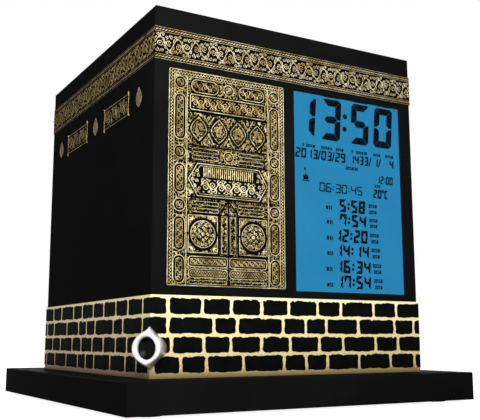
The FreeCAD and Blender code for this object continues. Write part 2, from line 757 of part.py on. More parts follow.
def make_rear_panel(doc):
    """Stepped panel in the back, with the grille, key holes, switch slot and posts."""
    piece = Piece(doc, "rear_panel")
    flange = grown("-panel_width / 2", PANEL_LOW, "panel_width", "panel_height", "-fit_gap")
    piece.pad("XZ", BACK, -1, "rebate_depth", flange)
    plug = grown("-panel_width / 2", PANEL_LOW, "panel_width", "panel_height", "-panel_rim - fit_gap")
    piece.pad("XZ", BACK, -1, "shell_wall", plug)
    key_posts = [circle(x, z, "key_post_radius") for x, z in KEY_BOARD_SCREWS]
    piece.pad("XZ", BACK_INSIDE, -1, "key_board_gap", *key_posts)
    speaker_posts = [circle(x, z, "speaker_post_radius") for x, z in speaker_screw_places()]
    piece.pad("XZ", BACK_INSIDE, -1, SPEAKER_STACK, *speaker_posts)
    pilot = "small_shank_radius + thread_gap"
    key_pilots = [circle(x, z, pilot) for x, z in KEY_BOARD_SCREWS]
    piece.pocket("XZ", KEY_BOARD_Y, 1, "small_grip + pilot_spare", *key_pilots)
    speaker_pilots = [circle(x, z, pilot) for x, z in speaker_screw_places()]
    bite = f"{SPEAKER_STACK} + speaker_screw_bite"
    piece.pocket("XZ", f"{BACK_INSIDE} - {SPEAKER_STACK}", 1, bite, *speaker_pilots)
    key_holes = []
    for column, row, width in KEYS.values():
        left = f"{column} - {width} / 2"
        key_holes.append(grown(left, f"{key_level(row)} - key_height / 2", width, "key_height", "key_gap"))
    piece.pocket("XZ", BACK, -1, "shell_wall", *key_holes)
    slot_length = "(slide_cap_length + slide_travel)"
    slot_low = f"{LOWER_ROW_Z} - slide_cap_height / 2"
    slot = grown(f"slide_x - {slot_length} / 2", slot_low, slot_length, "slide_cap_height", "key_gap")
    nose = circle("inlet_x", LOWER_ROW_Z, "inlet_nose_radius + fit_gap")
    piece.pocket("XZ", BACK, -1, "shell_wall", slot, nose)
    heads = [circle(x, z, "small_head_radius + fit_gap") for x, z in PANEL_SCREWS]
    piece.pocket("XZ", BACK, -1, "small_head_height", *heads)
    shanks = [circle(x, z, "small_shank_radius + shank_gap") for x, z in PANEL_SCREWS]
    piece.pocket("XZ", BACK, -1, "rebate_depth", *shanks)
    slots = []
    for index in range(GRILLE_SLOTS):
        rise = f"({index - GRILLE_SLOTS // 2} * grille_pitch)"
        half = f"sqrt(grille_radius ^ 2 - {rise} ^ 2)"
        low_edge = f"{PANEL_MIDDLE} + {rise} - grille_slot / 2"
        slots.append(rect(f"speaker_x - {half}", low_edge, f"2 * {half}", "grille_slot"))
    piece.pocket("XZ", BACK, -1, "shell_wall", *slots)
    return piece.body


def make_rear_panel_screws(doc):
    """Four screws that hold the rear panel to the cube."""
    places = [(x, BACK, z) for x, z in PANEL_SCREWS]
    head = ("small_head_radius", "small_head_height")
    shank = ("small_shank_radius", "rebate_depth - small_head_height + small_grip")
    return screws(doc, "rear_panel_screws", places, "-Y", head, shank)


def key_level(row):
    """Height of a row of keys, counted from the lowest."""
    return f"({PANEL_MIDDLE} + key_row_low + {row} * key_row_pitch)"


def make_key_board(doc):
    """Small circuit board behind the keys, on the panel's posts, and its screws."""
    piece = Piece(doc, "key_board")
    outline = rect("key_board_left", KEY_BOARD_Z, "key_board_width", "key_board_height")
    piece.pad("XZ", KEY_BOARD_Y, -1, "board_thickness", outline)
    holes = [circle(x, z, "small_shank_radius + shank_gap") for x, z in KEY_BOARD_SCREWS]
    piece.pocket("XZ", KEY_BOARD_Y, -1, "board_thickness", *holes)
    places = [(x, f"{KEY_BOARD_INNER} - small_head_height", z) for x, z in KEY_BOARD_SCREWS]
    head = ("small_head_radius", "small_head_height")
    shank = ("small_shank_radius", "board_thickness + small_grip")
    held = screws(doc, "key_board_screws", places, "+Y", head, shank)
    return [piece.body, held]


def make_key_switches(doc):
    """One switch housing under each key, with a blind hole for its stem."""
    housings = []
    for name, (column, row, _) in KEYS.items():
        corner = (f"{column} - switch_side / 2", KEY_BOARD_Y, f"{key_level(row)} - switch_side / 2")
        box = block(doc, f"{name}_switch_box", corner, ("switch_side", "switch_height", "switch_side"))
        mouth = (column, f"{KEY_BOARD_Y} + switch_height", key_level(row))
        depth = "stem_sunk + key_travel + stop_gap"
        hole = rod(doc, f"{name}_switch_hole", mouth, "-Y", "stem_radius + thread_gap", depth)
        housings.append(cut(doc, f"{name}_switch", box, hole))
    return group(doc, "key_switches", housings)


def make_key(doc, name):
    """One key with its flange and post, and the switch stem that it pushes."""
    column, row, width = KEYS[name]
    piece = Piece(doc, name)
    level = key_level(row)
    cap = rect(f"{column} - {width} / 2", f"{level} - key_height / 2", width, "key_height")
    piece.pad("XZ", f"{BACK} + key_proud", -1, "key_proud + shell_wall + stop_gap", cap)
    outer = number(doc, f"{BACK} + key_proud")
    piece.break_edges("edge_break", lambda edge: edge.BoundBox.YMin > outer - TOUCH)
    rim = "key_flange_rim + key_gap"
    flange = grown(f"{column} - {width} / 2", f"{level} - key_height / 2", width, "key_height", rim)
    piece.pad("XZ", f"{BACK_INSIDE} - stop_gap", -1, "key_flange", flange)
    stem_top = f"({KEY_BOARD_Y} + switch_height + stem_proud)"
    reach = f"{BACK_INSIDE} - stop_gap - {stem_top}"
    piece.pad("XZ", f"{BACK_INSIDE} - stop_gap", -1, reach, circle(column, level, "stem_radius"))
    stem_length = "stem_proud + stem_sunk"
    stem = rod(doc, f"{name}_stem", (column, stem_top, level), "-Y", "stem_radius", stem_length)
    return [piece.body, stem]


def make_slide_switch(doc):
    """Slide switch housing with a slot, and the cap that moves along it."""
    top = f"({KEY_BOARD_Y} + slide_housing_depth)"
    corner = ("slide_x - slide_housing_length / 2", KEY_BOARD_Y, f"{LOWER_ROW_Z} - slide_housing_height / 2")
    size = ("slide_housing_length", "slide_housing_depth", "slide_housing_height")
    box = block(doc, "slide_box", corner, size)
    stem_half = "(slide_cap_height / 4)"
    slot_corner = (
        "slide_x - slide_travel / 2 - slide_cap_length / 4 - key_gap",
        f"{top} - slide_stem_sunk - stop_gap",
        f"{LOWER_ROW_Z} - {stem_half} - key_gap",
    )
    slot_length = "slide_travel + slide_cap_length / 2 + 2 * key_gap"
    slot_size = (slot_length, "slide_stem_sunk + stop_gap", f"2 * ({stem_half} + key_gap)")
    slot = block(doc, "slide_slot", slot_corner, slot_size)
    housing = cut(doc, "slide_switch_housing", box, slot)
    cap_middle = "(slide_x - slide_travel / 2)"
    piece = Piece(doc, "slide_switch_cap")
    cap_low = f"{LOWER_ROW_Z} - slide_cap_height / 2"
    cap = rect(f"{cap_middle} - slide_cap_length / 2", cap_low, "slide_cap_length", "slide_cap_height")
    piece.pad("XZ", f"{BACK} + key_proud", -1, f"{BACK} + key_proud - {top} - stop_gap", cap)
    outer = number(doc, f"{BACK} + key_proud")
    piece.break_edges("edge_break", lambda edge: edge.BoundBox.YMin > outer - TOUCH)
    stem = rect(
        f"{cap_middle} - slide_cap_length / 4",
        f"{LOWER_ROW_Z} - {stem_half}",
        "slide_cap_length / 2",
        f"2 * {stem_half}",
    )
    piece.pad("XZ", BACK, -1, f"{BACK} - {top} + slide_stem_sunk", stem)
    return [housing, piece.body]


def make_power_inlet(doc):
    """Round power inlet: a block on the key board, its nose in the panel, a bore round a pin."""
    piece = Piece(doc, "power_inlet")
    left, low = "inlet_x - inlet_side / 2", f"{LOWER_ROW_Z} - inlet_side / 2"
    square = rect(left, low, "inlet_side", "inlet_side")
    piece.pad("XZ", KEY_BOARD_Y, 1, "key_board_gap", square)
    piece.pad("XZ", BACK_INSIDE, 1, "shell_wall", circle("inlet_x", LOWER_ROW_Z, "inlet_nose_radius"))
    bore = circle("inlet_x", LOWER_ROW_Z, "inlet_bore_radius")
    pin = circle("inlet_x", LOWER_ROW_Z, "inlet_pin_radius")
    piece.pocket("XZ", BACK, -1, "inlet_bore_depth", bore, pin)
    return piece.body


def speaker_screw_places():
    """Where the loudspeaker's screws stand, just outside its flange."""
    out = "(speaker_radius + speaker_post_out)"
    return [
        (f"(speaker_x + {out} * cos({angle}))", f"({PANEL_MIDDLE} + {out} * sin({angle}))")
        for angle in SPEAKER_SCREW_ANGLES
    ]


def make_loudspeaker(doc):
    """Loudspeaker behind the grille: gasket, frame, cone, magnet and screws."""
    axis = ("speaker_x", PANEL_MIDDLE)

    def on_axis(level):
        return (axis[0], level, axis[1])

    rim_inside = "(speaker_radius - speaker_flange_width)"
    gasket_disc = rod(doc, "gasket_disc", on_axis(BACK_INSIDE), "-Y", "speaker_radius", "gasket_thickness")
    gasket_hole = rod(doc, "gasket_hole", on_axis(BACK_INSIDE), "-Y", rim_inside, "gasket_thickness")
    gasket = cut(doc, "speaker_gasket", gasket_disc, gasket_hole)
    disc = rod(doc, "frame_disc", on_axis(SPEAKER_FRONT), "-Y", "speaker_radius", "speaker_flange")
    behind_flange = f"({SPEAKER_FRONT} - speaker_flange)"
    wide, narrow = f"({rim_inside} + basket_wall)", "(magnet_radius + basket_wall)"
    basket = taper(doc, "basket_outer", on_axis(behind_flange), "-Y", wide, narrow, "basket_depth")
    hollow_wide = f"({wide} - basket_wall)"
    mouth = rod(doc, "basket_mouth", on_axis(SPEAKER_FRONT), "-Y", hollow_wide, "speaker_flange")
    inner_depth = "basket_depth - basket_wall"
    inner_taper = taper(
        doc, "basket_inner", on_axis(behind_flange), "-Y", hollow_wide, "magnet_radius", inner_depth
    )
    solid = fuse(doc, "frame_solid", [disc, basket])
    hollow = fuse(doc, "frame_hollow", [mouth, inner_taper])
    frame = cut(doc, "speaker_frame", solid, hollow)
    magnet_place = on_axis(f"{behind_flange} - basket_depth")
    magnet = rod(doc, "speaker_magnet", magnet_place, "-Y", "magnet_radius", "magnet_height")
    cone = make_speaker_cone(doc, on_axis, rim_inside)
    out_level = f"{BACK_INSIDE} - {SPEAKER_STACK} - small_head_height"
    places = [(x, out_level, z) for x, z in speaker_screw_places()]
    head = ("speaker_head_radius", "small_head_height")
    held = screws(doc, "speaker_screws", places, "+Y", head, ("small_shank_radius", SPEAKER_STACK))
    return [gasket, frame, magnet, cone, held]


def make_speaker_cone(doc, on_axis, rim_inside):
    """Paper cone with a flat surround, glued behind the frame's front face, and a dust cap."""
    level = f"({SPEAKER_FRONT} - speaker_flange + cone_wall)"
    outer_radius, depth = f"({rim_inside})", "cone_depth"
    skin = taper(doc, "cone_outer", on_axis(level), "-Y", outer_radius, "dust_cap_radius", depth)
    inner_level = f"{level} + cone_wall"
    inner = taper(doc, "cone_inner", on_axis(inner_level), "-Y", outer_radius, "dust_cap_radius", depth)
    shell = cut(doc, "cone_shell", skin, inner)
    cap_level = f"{level} - cone_depth + 2 * cone_wall"
    cap = rod(doc, "dust_cap", on_axis(cap_level), "-Y", "dust_cap_radius + cone_wall", "2 * cone_wall")
    return fuse(doc, "speaker_cone", [shell, cap])


# ---------------------------------------------------------------- battery bay


def make_battery_tray(doc):
    """Tub over the cells, open below, its flange on the base plate."""
    piece = Piece(doc, "battery_tray")
    outer = rect("-tray_width / 2", "tray_front", "tray_width", "tray_length")
    piece.pad("XY", PLATE_TOP, 1, "tray_height", outer)
    flange = grown("-tray_width / 2", "tray_front", "tray_width", "tray_length", "tray_flange")
    piece.pad("XY", PLATE_TOP, 1, "tray_flange_height", flange)
    inner = grown("-tray_width / 2", "tray_front", "tray_width", "tray_length", "-tray_wall")
    piece.pocket("XY", PLATE_TOP, 1, "tray_height - tray_wall", inner)
    return piece.body


def cell_runs_back(index):
    """Every second cell lies with its nub towards the back."""
    return index % 2 == 0


def cell_x(index):
    """Sideways place of a cell's axis."""
    return f"({index} - {(CELLS - 1) / 2}) * cell_pitch"


def make_battery_cells(doc):
    """Three round cells side by side, each with a nub on one end."""
    cells = []
    for index in range(CELLS):
        nub_back = cell_runs_back(index)
        start = f"({BAY_BACK} - contact_plate)" if nub_back else f"({BAY_FRONT} + contact_plate)"
        towards = "-Y" if nub_back else "+Y"
        sign = "-" if nub_back else "+"
        where = (cell_x(index), f"{start} {sign} cell_nub", CELL_CENTRE_Z)
        can = rod(doc, f"cell_can_{index + 1}", where, towards, "cell_radius", "cell_length")
        nub_place = (cell_x(index), start, CELL_CENTRE_Z)
        nub = rod(doc, f"cell_nub_{index + 1}", nub_place, towards, "cell_nub_radius", "cell_nub + 1")
        cells.append(fuse(doc, f"battery_cell_{index + 1}", [can, nub]))
    return cells


def make_battery_contacts(doc):
    """A flat plate at both ends of each cell."""
    plates = []
    for index in range(CELLS):
        for end, level in enumerate((BAY_FRONT, f"{BAY_BACK} - contact_plate"), start=1):
            corner = (f"{cell_x(index)} - contact_width / 2", level, f"{CELL_CENTRE_Z} - contact_height / 2")
            size = ("contact_width", "contact_plate", "contact_height")
            plates.append(block(doc, f"contact_{index + 1}_{end}", corner, size))
    return group(doc, "battery_contacts", plates)


def make_battery_springs(doc):
    """A tapered coil between each cell's flat end and its plate."""
    wire = number(doc, "spring_wire_radius")
    wide, narrow = number(doc, "spring_wide_radius"), number(doc, "spring_narrow_radius")
    bay = number(doc, f"{BAY_BACK} - {BAY_FRONT} - 2 * contact_plate")
    room = bay - number(doc, "cell_length + cell_nub")
    height = room - 2 * wire
    pitch = height / number(doc, "spring_turns")
    lean = -math.degrees(math.atan((wide - narrow) / height))
    coils = []
    for index in range(CELLS):
        path = Part.makeHelix(pitch, height, wide, lean)
        start = path.Vertexes[0].Point
        ring = Part.Wire(Part.makeCircle(wire, start, FreeCAD.Vector(0, 1, pitch / (2 * math.pi * wide))))
        coil = Part.Wire(path.Edges).makePipeShell([ring], True, True)
        x, z = number(doc, cell_x(index)), number(doc, CELL_CENTRE_Z)
        if cell_runs_back(index):
            level = number(doc, f"{BAY_FRONT} + contact_plate + spring_wire_radius")
            turn = TURNS["+Y"]
        else:
            level = number(doc, f"{BAY_BACK} - contact_plate - spring_wire_radius")
            turn = TURNS["-Y"]
        coil.Placement = FreeCAD.Placement(FreeCAD.Vector(x, level, z), turn)
        coils.append(coil)
    return shaped(doc, "battery_springs", Part.makeCompound(coils))


def make_battery_door(doc):
    """T-section door that slides out of the plinth's back edge, with finger ridges below."""
    piece = Piece(doc, "battery_door")
    front = "(tray_front + door_gap)"
    length = f"{PLINTH_BACK} - {front}"
    step = f"({PLINTH_LOW} + door_lip + door_lip_gap)"
    leaf = rect("-door_width / 2", front, "door_width", length)
    piece.pad("XY", PLINTH_LOW, 1, f"{PLATE_TOP} - stop_gap - {PLINTH_LOW}", leaf)
    wide = rect("-door_width / 2 - door_tongue", front, "door_width + 2 * door_tongue", length)
    piece.pad("XY", step, 1, f"{PLATE_TOP} - stop_gap - {step}", wide)
    ridge_y = f"{PLINTH_BACK} - 4 * door_ridge_pitch"
    ridge = rect("-door_width / 4", ridge_y, "door_width / 2", "door_ridge_width")
    first = piece.pocket("XY", PLINTH_LOW, 1, "door_ridge_depth", ridge)
    piece.row(first, DOOR_RIDGES, f"{DOOR_RIDGES - 1} * door_ridge_pitch")
    return piece.body


# ---------------------------------------------------------------- leads


def bent_path(points):
    """Straight runs joined by tangent arcs, each as large as its two runs allow."""
    edges = []
    start = points[0]
    for before, here, after in zip(points, points[1:], points[2:]):
        back, on = (before - here), (after - here)
        turn = math.pi - back.getAngle(on)
        trim = ARC_SHARE * min(back.Length, on.Length)
        back.normalize()
        on.normalize()
        first, last = here + back * trim, here + on * trim
        radius = trim / math.tan(turn / 2)
        inward = (back + on).normalize()
        centre = here + inward * (radius / math.cos(turn / 2))
        middle = centre - inward * radius
        edges.append(Part.LineSegment(start, first).toShape())
        edges.append(Part.Arc(first, middle, last).toShape())
        start = last
    edges.append(Part.LineSegment(start, points[-1]).toShape())
    return Part.Wire(edges)


def lead_solid(points, outline):
    """Sweep an outline along a bent path and check its volume against section times length."""
    path = bent_path(points)
    solid = path.makePipeShell([outline], True, False)
    expected = Part.Face(outline).Area * path.Length
    if abs(solid.Volume - expected) > 0.02 * expected:
        raise RuntimeError("a lead's volume differs from its section times its length")
    return solid


def vectors(doc, places):
    """Turn expression triples into points."""
    return [FreeCAD.Vector(*(number(doc, text) for text in place_)) for place_ in places]


def round_lead(doc, places):
    """A round insulated wire along its points."""
    points = vectors(doc, places)
    ring = Part.Wire(Part.makeCircle(number(doc, "lead_radius"), points[0], points[1] - points[0]))
    return lead_solid(points, ring)


def make_leads(doc):
    """Battery leads and speaker leads to the key board, and the ribbon to the display board."""
    battery, speaker = [], []
    magnet_back = f"({SPEAKER_FRONT} - speaker_flange - basket_depth - magnet_height)"
    out = f"({magnet_back} - speaker_lead_out)"
    low, high = f"({PANEL_MIDDLE} + speaker_lead_rise)", f"({PANEL_MIDDLE} + 2 * speaker_lead_rise)"
    for side in LEFT_AND_RIGHT:
        apart = f"{side} * lead_spacing"
        x, end_x = f"{side} * battery_lead_x", f"(battery_lead_end_x + {apart})"
        end_z = f"({KEY_BOARD_Z} + battery_lead_end_z)"
        battery.append(round_lead(doc, [
            (x, "battery_lead_y", TRAY_TOP),
            (x, "battery_lead_y", f"{TRAY_TOP} + battery_lead_rise"),
            (end_x, f"(battery_lead_y + {KEY_BOARD_INNER} / 6)", end_z),
            (end_x, KEY_BOARD_INNER, end_z),
        ]))
        start_x, end_x = f"(speaker_x + {apart})", f"(speaker_lead_end_x + {apart})"
        speaker.append(round_lead(doc, [
            (start_x, magnet_back, low),
            (start_x, out, low),
            (f"({start_x} + {end_x}) / 2", f"{out} - lead_spacing", f"{low} + lead_spacing"),
            (end_x, out, high),
            (end_x, KEY_BOARD_INNER, high),
        ]))
    start_z, end_z = f"({PANEL_MIDDLE} - ribbon_drop)", PANEL_MIDDLE
    points = vectors(doc, [
        ("key_column_two", DISPLAY_BOARD_BACK, start_z),
        ("key_column_two", f"{DISPLAY_BOARD_BACK} + ribbon_out", start_z),
        ("key_column_two", f"({DISPLAY_BOARD_BACK} + {KEY_BOARD_INNER}) / 2", f"{start_z} - ribbon_sag"),
        ("key_column_two", f"{KEY_BOARD_INNER} - ribbon_out", end_z),
        ("key_column_two", KEY_BOARD_INNER, end_z),
    ])
    half_width, half_thick = number(doc, "ribbon_width") / 2, number(doc, "ribbon_thickness") / 2
    outline_corners = [
        points[0] + FreeCAD.Vector(u * half_width, 0, v * half_thick)
        for u, v in ((-1, -1), (1, -1), (1, 1), (-1, 1), (-1, -1))
    ]
    ribbon = lead_solid(points, Part.makePolygon(outline_corners))
    return [
        shaped(doc, "battery_leads", Part.makeCompound(battery)),
        shaped(doc, "speaker_leads", Part.makeCompound(speaker)),
        shaped(doc, "board_ribbon", ribbon),
    ]


# ---------------------------------------------------------------- ornament


def make_sleeve(doc, name, low, height, thickness):
    """A foil wrapped round the four faces of the cube."""
    piece = Piece(doc, name)
    outer = centred(f"body_width + 2 * {thickness}", f"body_depth + 2 * {thickness}")
    piece.pad("XY", f"{BODY_LOW} + {low}", 1, height, outer)
    piece.pocket("XY", f"{BODY_LOW} + {low}", 1, height, centred("body_width", "body_depth"))
    return piece.body


def make_door_curtain(doc):
    """Embroidered curtain panel on the front, with a raised border."""
    piece = Piece(doc, "door_curtain_panel")
    whole = (CURTAIN_X, CURTAIN_Z, "curtain_width", CURTAIN_HEIGHT)
    piece.pad("XZ", FRONT, -1, "foil_thickness", rect(*whole))
    border = (rect(*whole), grown(*whole, "-curtain_border"))
    piece.pad("XZ", f"{FRONT} - foil_thickness", -1, "foil_thickness", *border)
    return piece.body


def face_frames(doc):
    """Left, right and back face: middle point, sideways direction and outward direction."""
    half_x, half_y = number(doc, RIGHT), number(doc, BACK)
    return [
        (FreeCAD.Vector(-half_x, 0, 0), FreeCAD.Vector(0, -1, 0), FreeCAD.Vector(-1, 0, 0)),
        (FreeCAD.Vector(half_x, 0, 0), FreeCAD.Vector(0, 1, 0), FreeCAD.Vector(1, 0, 0)),
        (FreeCAD.Vector(0, half_y, 0), FreeCAD.Vector(-1, 0, 0), FreeCAD.Vector(0, 1, 0)),
    ]


def thin_plates(doc, outline, offsets):
    """The same thin outline at each offset on the left, right and back faces."""
    thickness = number(doc, "foil_thickness")
    plates = []
    for middle, sideways, outward in face_frames(doc):
        for offset in offsets:
            points = [middle + sideways * (offset + u) + FreeCAD.Vector(0, 0, z) for u, z in outline]
            face = Part.Face(Part.makePolygon(points + points[:1]))
            plates.append(face.extrude(outward * thickness))
    return plates


def make_side_ornaments(doc):
    """Pointed cartouches and hanging drops under the band, on three faces."""
    sizes = ("cartouche_length / 2", "cartouche_height", "cartouche_tip")
    half, height, tip = (number(doc, text) for text in sizes)
    low = number(doc, f"{BODY_LOW} + {BAND_LOW} - cartouche_drop - cartouche_height")
    high = low + height
    cartouche = [
        (-half + tip, low), (half - tip, low), (half, low + tip), (half, high - tip),
        (half - tip, high), (-half + tip, high), (-half, high - tip), (-half, low + tip),
    ]
    offset = number(doc, "cartouche_offset")
    cartouches = thin_plates(doc, cartouche, (-offset, offset))
    wide = number(doc, "drop_width / 2")
    belly, shoulder, neck = low + height * 0.35, low + height * 0.8, wide * 0.6
    drop = [(0, low), (wide, belly), (neck, shoulder), (0, high), (-neck, shoulder), (-wide, belly)]
    reach = number(doc, "drop_offset")
    drops = thin_plates(doc, drop, (-reach, 0, reach))
    return [
        shaped(doc, "side_cartouches", Part.makeCompound(cartouches)),
        shaped(doc, "side_drops", Part.makeCompound(drops)),
    ]


def make_skirt_stones(doc):
    """Courses of flat stones on the skirt foil; the front left and back right corners mirror each other."""
    joint, high, proud = (number(doc, text) for text in ("stone_joint", "stone_height", "stone_proud"))
    foil = number(doc, "foil_thickness")
    low = number(doc, f"{BODY_LOW} + stone_row_low")
    pitch_z = number(doc, "stone_row_pitch")
    half_x, half_y = number(doc, RIGHT), number(doc, BACK)
    stones = []
    for turn, (half, out) in enumerate(((half_x, half_y), (half_y, half_x)) * 2):
        spin = FreeCAD.Placement(FreeCAD.Vector(), FreeCAD.Rotation(FreeCAD.Vector(0, 0, 1), 90 * turn))
        sign = -1 if turn % 2 else 1
        for row, joints in enumerate(COURSES):
            ends = [-half, *(at * 2 * half / JOINT_FACE - half for at in joints), half]
            for first, last in zip(ends, ends[1:]):
                left = first if first == -half else first + joint / 2
                right = last if last == half else last - joint / 2
                near = left if sign > 0 else -right
                if right - left < joint:
                    continue
                corner = FreeCAD.Vector(near, -out - foil - proud, low + row * pitch_z)
                stone = Part.makeBox(right - left, proud, high, corner)
                stone.Placement = spin.multiply(stone.Placement)
                stones.append(stone)
    return shaped(doc, "skirt_stones", Part.makeCompound(stones))


def pointed_ring_outline(radius, tip, level):
    """A circle drawn out to a point above and below, at a level along the ring's axis."""
    lean = math.acos(radius / tip)
    touch_x, touch_z = radius * math.sin(lean), radius * math.cos(lean)

    def point(x, z):
        return FreeCAD.Vector(x, z, level)

    right = Part.Arc(point(touch_x, -touch_z), point(radius, 0), point(touch_x, touch_z))
    left = Part.Arc(point(-touch_x, touch_z), point(-radius, 0), point(-touch_x, -touch_z))
    return Part.Wire([
        right.toShape(),
        Part.LineSegment(point(touch_x, touch_z), point(0, tip)).toShape(),
        Part.LineSegment(point(0, tip), point(-touch_x, touch_z)).toShape(),
        left.toShape(),
        Part.LineSegment(point(-touch_x, -touch_z), point(0, -tip)).toShape(),
        Part.LineSegment(point(0, -tip), point(touch_x, -touch_z)).toShape(),
    ])


def oval(width, height, level, length):
    """An upright oval bar along the ring's axis."""
    up = FreeCAD.Vector(0, 1, 0)
    curve = Part.Ellipse(up * (height / 2), FreeCAD.Vector(width / 2, 0, 0), FreeCAD.Vector())
    face = Part.Face(Part.Wire(curve.toShape()))
    face.translate(FreeCAD.Vector(0, 0, level))
    return face.extrude(FreeCAD.Vector(0, 0, length))


def make_corner_ring(doc):
    """Silver ring with two points on the front left corner, and the dark stone inside it."""
    skin = number(doc, "foil_thickness + stone_proud")
    low = number(doc, BODY_LOW)
    half_x, half_y = number(doc, RIGHT) + skin, number(doc, BACK) + skin
    front, root = number(doc, "ring_reach") + skin, -number(doc, "ring_root_depth")
    sizes = ("ring_root_radius", "ring_root_tip", "ring_front_radius", "ring_front_tip")
    root_radius, root_tip, front_radius, front_tip = (number(doc, text) for text in sizes)
    outlines = [
        pointed_ring_outline(root_radius, root_tip, root),
        pointed_ring_outline(front_radius, front_tip, front),
    ]
    width, height = number(doc, "ring_hole_width"), number(doc, "ring_hole_height")
    depth = front - root
    ring = Part.makeLoft(outlines, True).cut(oval(width, height, root, depth))
    gap = number(doc, "fit_gap")
    stone_length = depth - number(doc, "stone_depth")
    stone = oval(width - 2 * gap, height - 2 * gap, root, stone_length)
    upright = FreeCAD.Rotation(FreeCAD.Vector(1, 0, 0), 90)
    outward = FreeCAD.Rotation(FreeCAD.Vector(0, 0, 1), -45)
    corner = FreeCAD.Vector(-half_x, -half_y, low + number(doc, "ring_height"))
    seat = FreeCAD.Placement(corner, outward.multiply(upright))
    size = number(doc, "skirt_height")
    cube = Part.makeBox(2 * half_x, 2 * half_y, size, FreeCAD.Vector(-half_x, -half_y, low))
    made = []
    for name, solid in (("corner_ring", ring), ("corner_stone", stone)):
        solid.Placement = seat
        made.append(shaped(doc, name, solid.cut(cube)))
    return made


# ---------------------------------------------------------------- the whole clock


def build(doc):
    """Make every piece and return the objects to write, one for each node."""
    make_sheet(doc)
    pieces = [
        make_body_shell(doc),
        make_plinth_shell(doc),
        make_base_plate(doc),
        make_rubber_feet(doc),
        make_base_screws(doc),
        make_display_window(doc),
        *make_cell(doc),
        make_contact_strips(doc),
        make_lcd_holder(doc),
        *make_display_board(doc),
        make_rear_panel(doc),
        make_rear_panel_screws(doc),
        *make_key_board(doc),
        make_key_switches(doc),
    ]
    for name in KEYS:
        pieces += make_key(doc, name)
    pieces += [
        *make_slide_switch(doc),
        make_power_inlet(doc),
        *make_loudspeaker(doc),
        make_battery_tray(doc),
        *make_battery_cells(doc),
        make_battery_contacts(doc),
        make_battery_springs(doc),
        make_battery_door(doc),
        *make_leads(doc),
        make_sleeve(doc, "gold_band", BAND_LOW, "band_height", "foil_thickness"),
        make_sleeve(doc, "stone_skirt_foil", "0", "skirt_height", "foil_thickness"),
        make_door_curtain(doc),
        *make_side_ornaments(doc),
        make_skirt_stones(doc),
        *make_corner_ring(doc),
    ]
    return pieces


def check(doc, pieces):
    """Stop on any failed object, empty or broken shape, or cut that removed nothing."""
    for item in doc.Objects:
        if {"Invalid", "Error"} & set(item.State):
            raise RuntimeError(f"{item.Name} did not build: {item.State}")
        if item.isDerivedFrom("PartDesign::Pocket"):
            if item.Shape.Volume >= item.BaseFeature.Shape.Volume:
                raise RuntimeError(f"{item.Name} cuts nothing")
    for piece in pieces:
        if piece.Shape.isNull() or not piece.Shape.isValid() or not piece.Shape.Solids:
            raise RuntimeError(f"{piece.Label} has no valid solid")


def main():
    """Build, check and write one file for each node."""
    doc = FreeCAD.newDocument("azan_clock")
    pieces = build(doc)
    doc.recompute()
    check(doc, pieces)
    os.makedirs("parts", exist_ok=True)
    for piece in pieces:
        piece.Shape.exportStep(os.path.join("parts", f"{piece.Label}.step"))
    print(len(pieces), "nodes", sum(len(piece.Shape.Solids) for piece in pieces), "solids")


main()
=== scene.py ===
"""Looks of a desk azan clock: a black cube with gold ornament on a flat plinth, round its frame."""

from __future__ import annotations

import json
import logging
import math
import random
from collections.abc import Callable
from dataclasses import dataclass, field, replace
from enum import Enum

import bmesh
import bpy
from bpy.types import Material, Mesh, Node, NodeSocket, NodeTree, Object
from mathutils import Matrix, Vector

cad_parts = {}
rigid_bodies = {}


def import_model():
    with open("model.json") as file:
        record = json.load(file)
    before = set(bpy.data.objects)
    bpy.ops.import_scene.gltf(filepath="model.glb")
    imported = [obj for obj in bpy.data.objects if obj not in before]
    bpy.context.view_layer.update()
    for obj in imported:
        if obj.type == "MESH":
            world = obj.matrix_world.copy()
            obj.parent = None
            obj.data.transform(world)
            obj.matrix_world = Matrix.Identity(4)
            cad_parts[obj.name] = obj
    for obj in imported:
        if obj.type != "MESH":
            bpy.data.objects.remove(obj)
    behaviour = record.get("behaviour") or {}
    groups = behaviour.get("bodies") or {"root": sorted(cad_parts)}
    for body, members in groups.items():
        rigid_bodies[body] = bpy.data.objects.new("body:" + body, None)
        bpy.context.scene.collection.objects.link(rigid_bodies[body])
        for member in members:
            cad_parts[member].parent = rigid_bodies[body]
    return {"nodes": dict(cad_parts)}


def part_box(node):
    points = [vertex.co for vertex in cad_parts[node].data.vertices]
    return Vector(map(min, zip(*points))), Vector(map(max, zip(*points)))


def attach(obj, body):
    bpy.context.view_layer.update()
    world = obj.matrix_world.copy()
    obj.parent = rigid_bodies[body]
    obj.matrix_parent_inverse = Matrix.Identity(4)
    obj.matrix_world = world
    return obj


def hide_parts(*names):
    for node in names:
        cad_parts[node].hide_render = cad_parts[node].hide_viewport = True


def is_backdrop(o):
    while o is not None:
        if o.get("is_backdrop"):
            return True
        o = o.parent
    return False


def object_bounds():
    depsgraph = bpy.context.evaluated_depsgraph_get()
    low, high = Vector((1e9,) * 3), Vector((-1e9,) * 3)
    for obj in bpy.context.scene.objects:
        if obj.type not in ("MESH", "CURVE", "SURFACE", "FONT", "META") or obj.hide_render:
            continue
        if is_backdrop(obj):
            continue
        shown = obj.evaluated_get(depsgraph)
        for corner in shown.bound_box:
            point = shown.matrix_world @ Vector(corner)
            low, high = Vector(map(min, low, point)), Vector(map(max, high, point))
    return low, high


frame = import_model()
CAD_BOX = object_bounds()

LOG = logging.getLogger("azan_clock")
MM = 0.001
THREAD_SIDES = 4
Point = tuple[float, float]
Outline = list[Point]
Rows = tuple[tuple[float, ...], ...]
Placed = list[tuple[Mesh, Matrix]]
Source = NodeSocket | Node


# ---- nodes


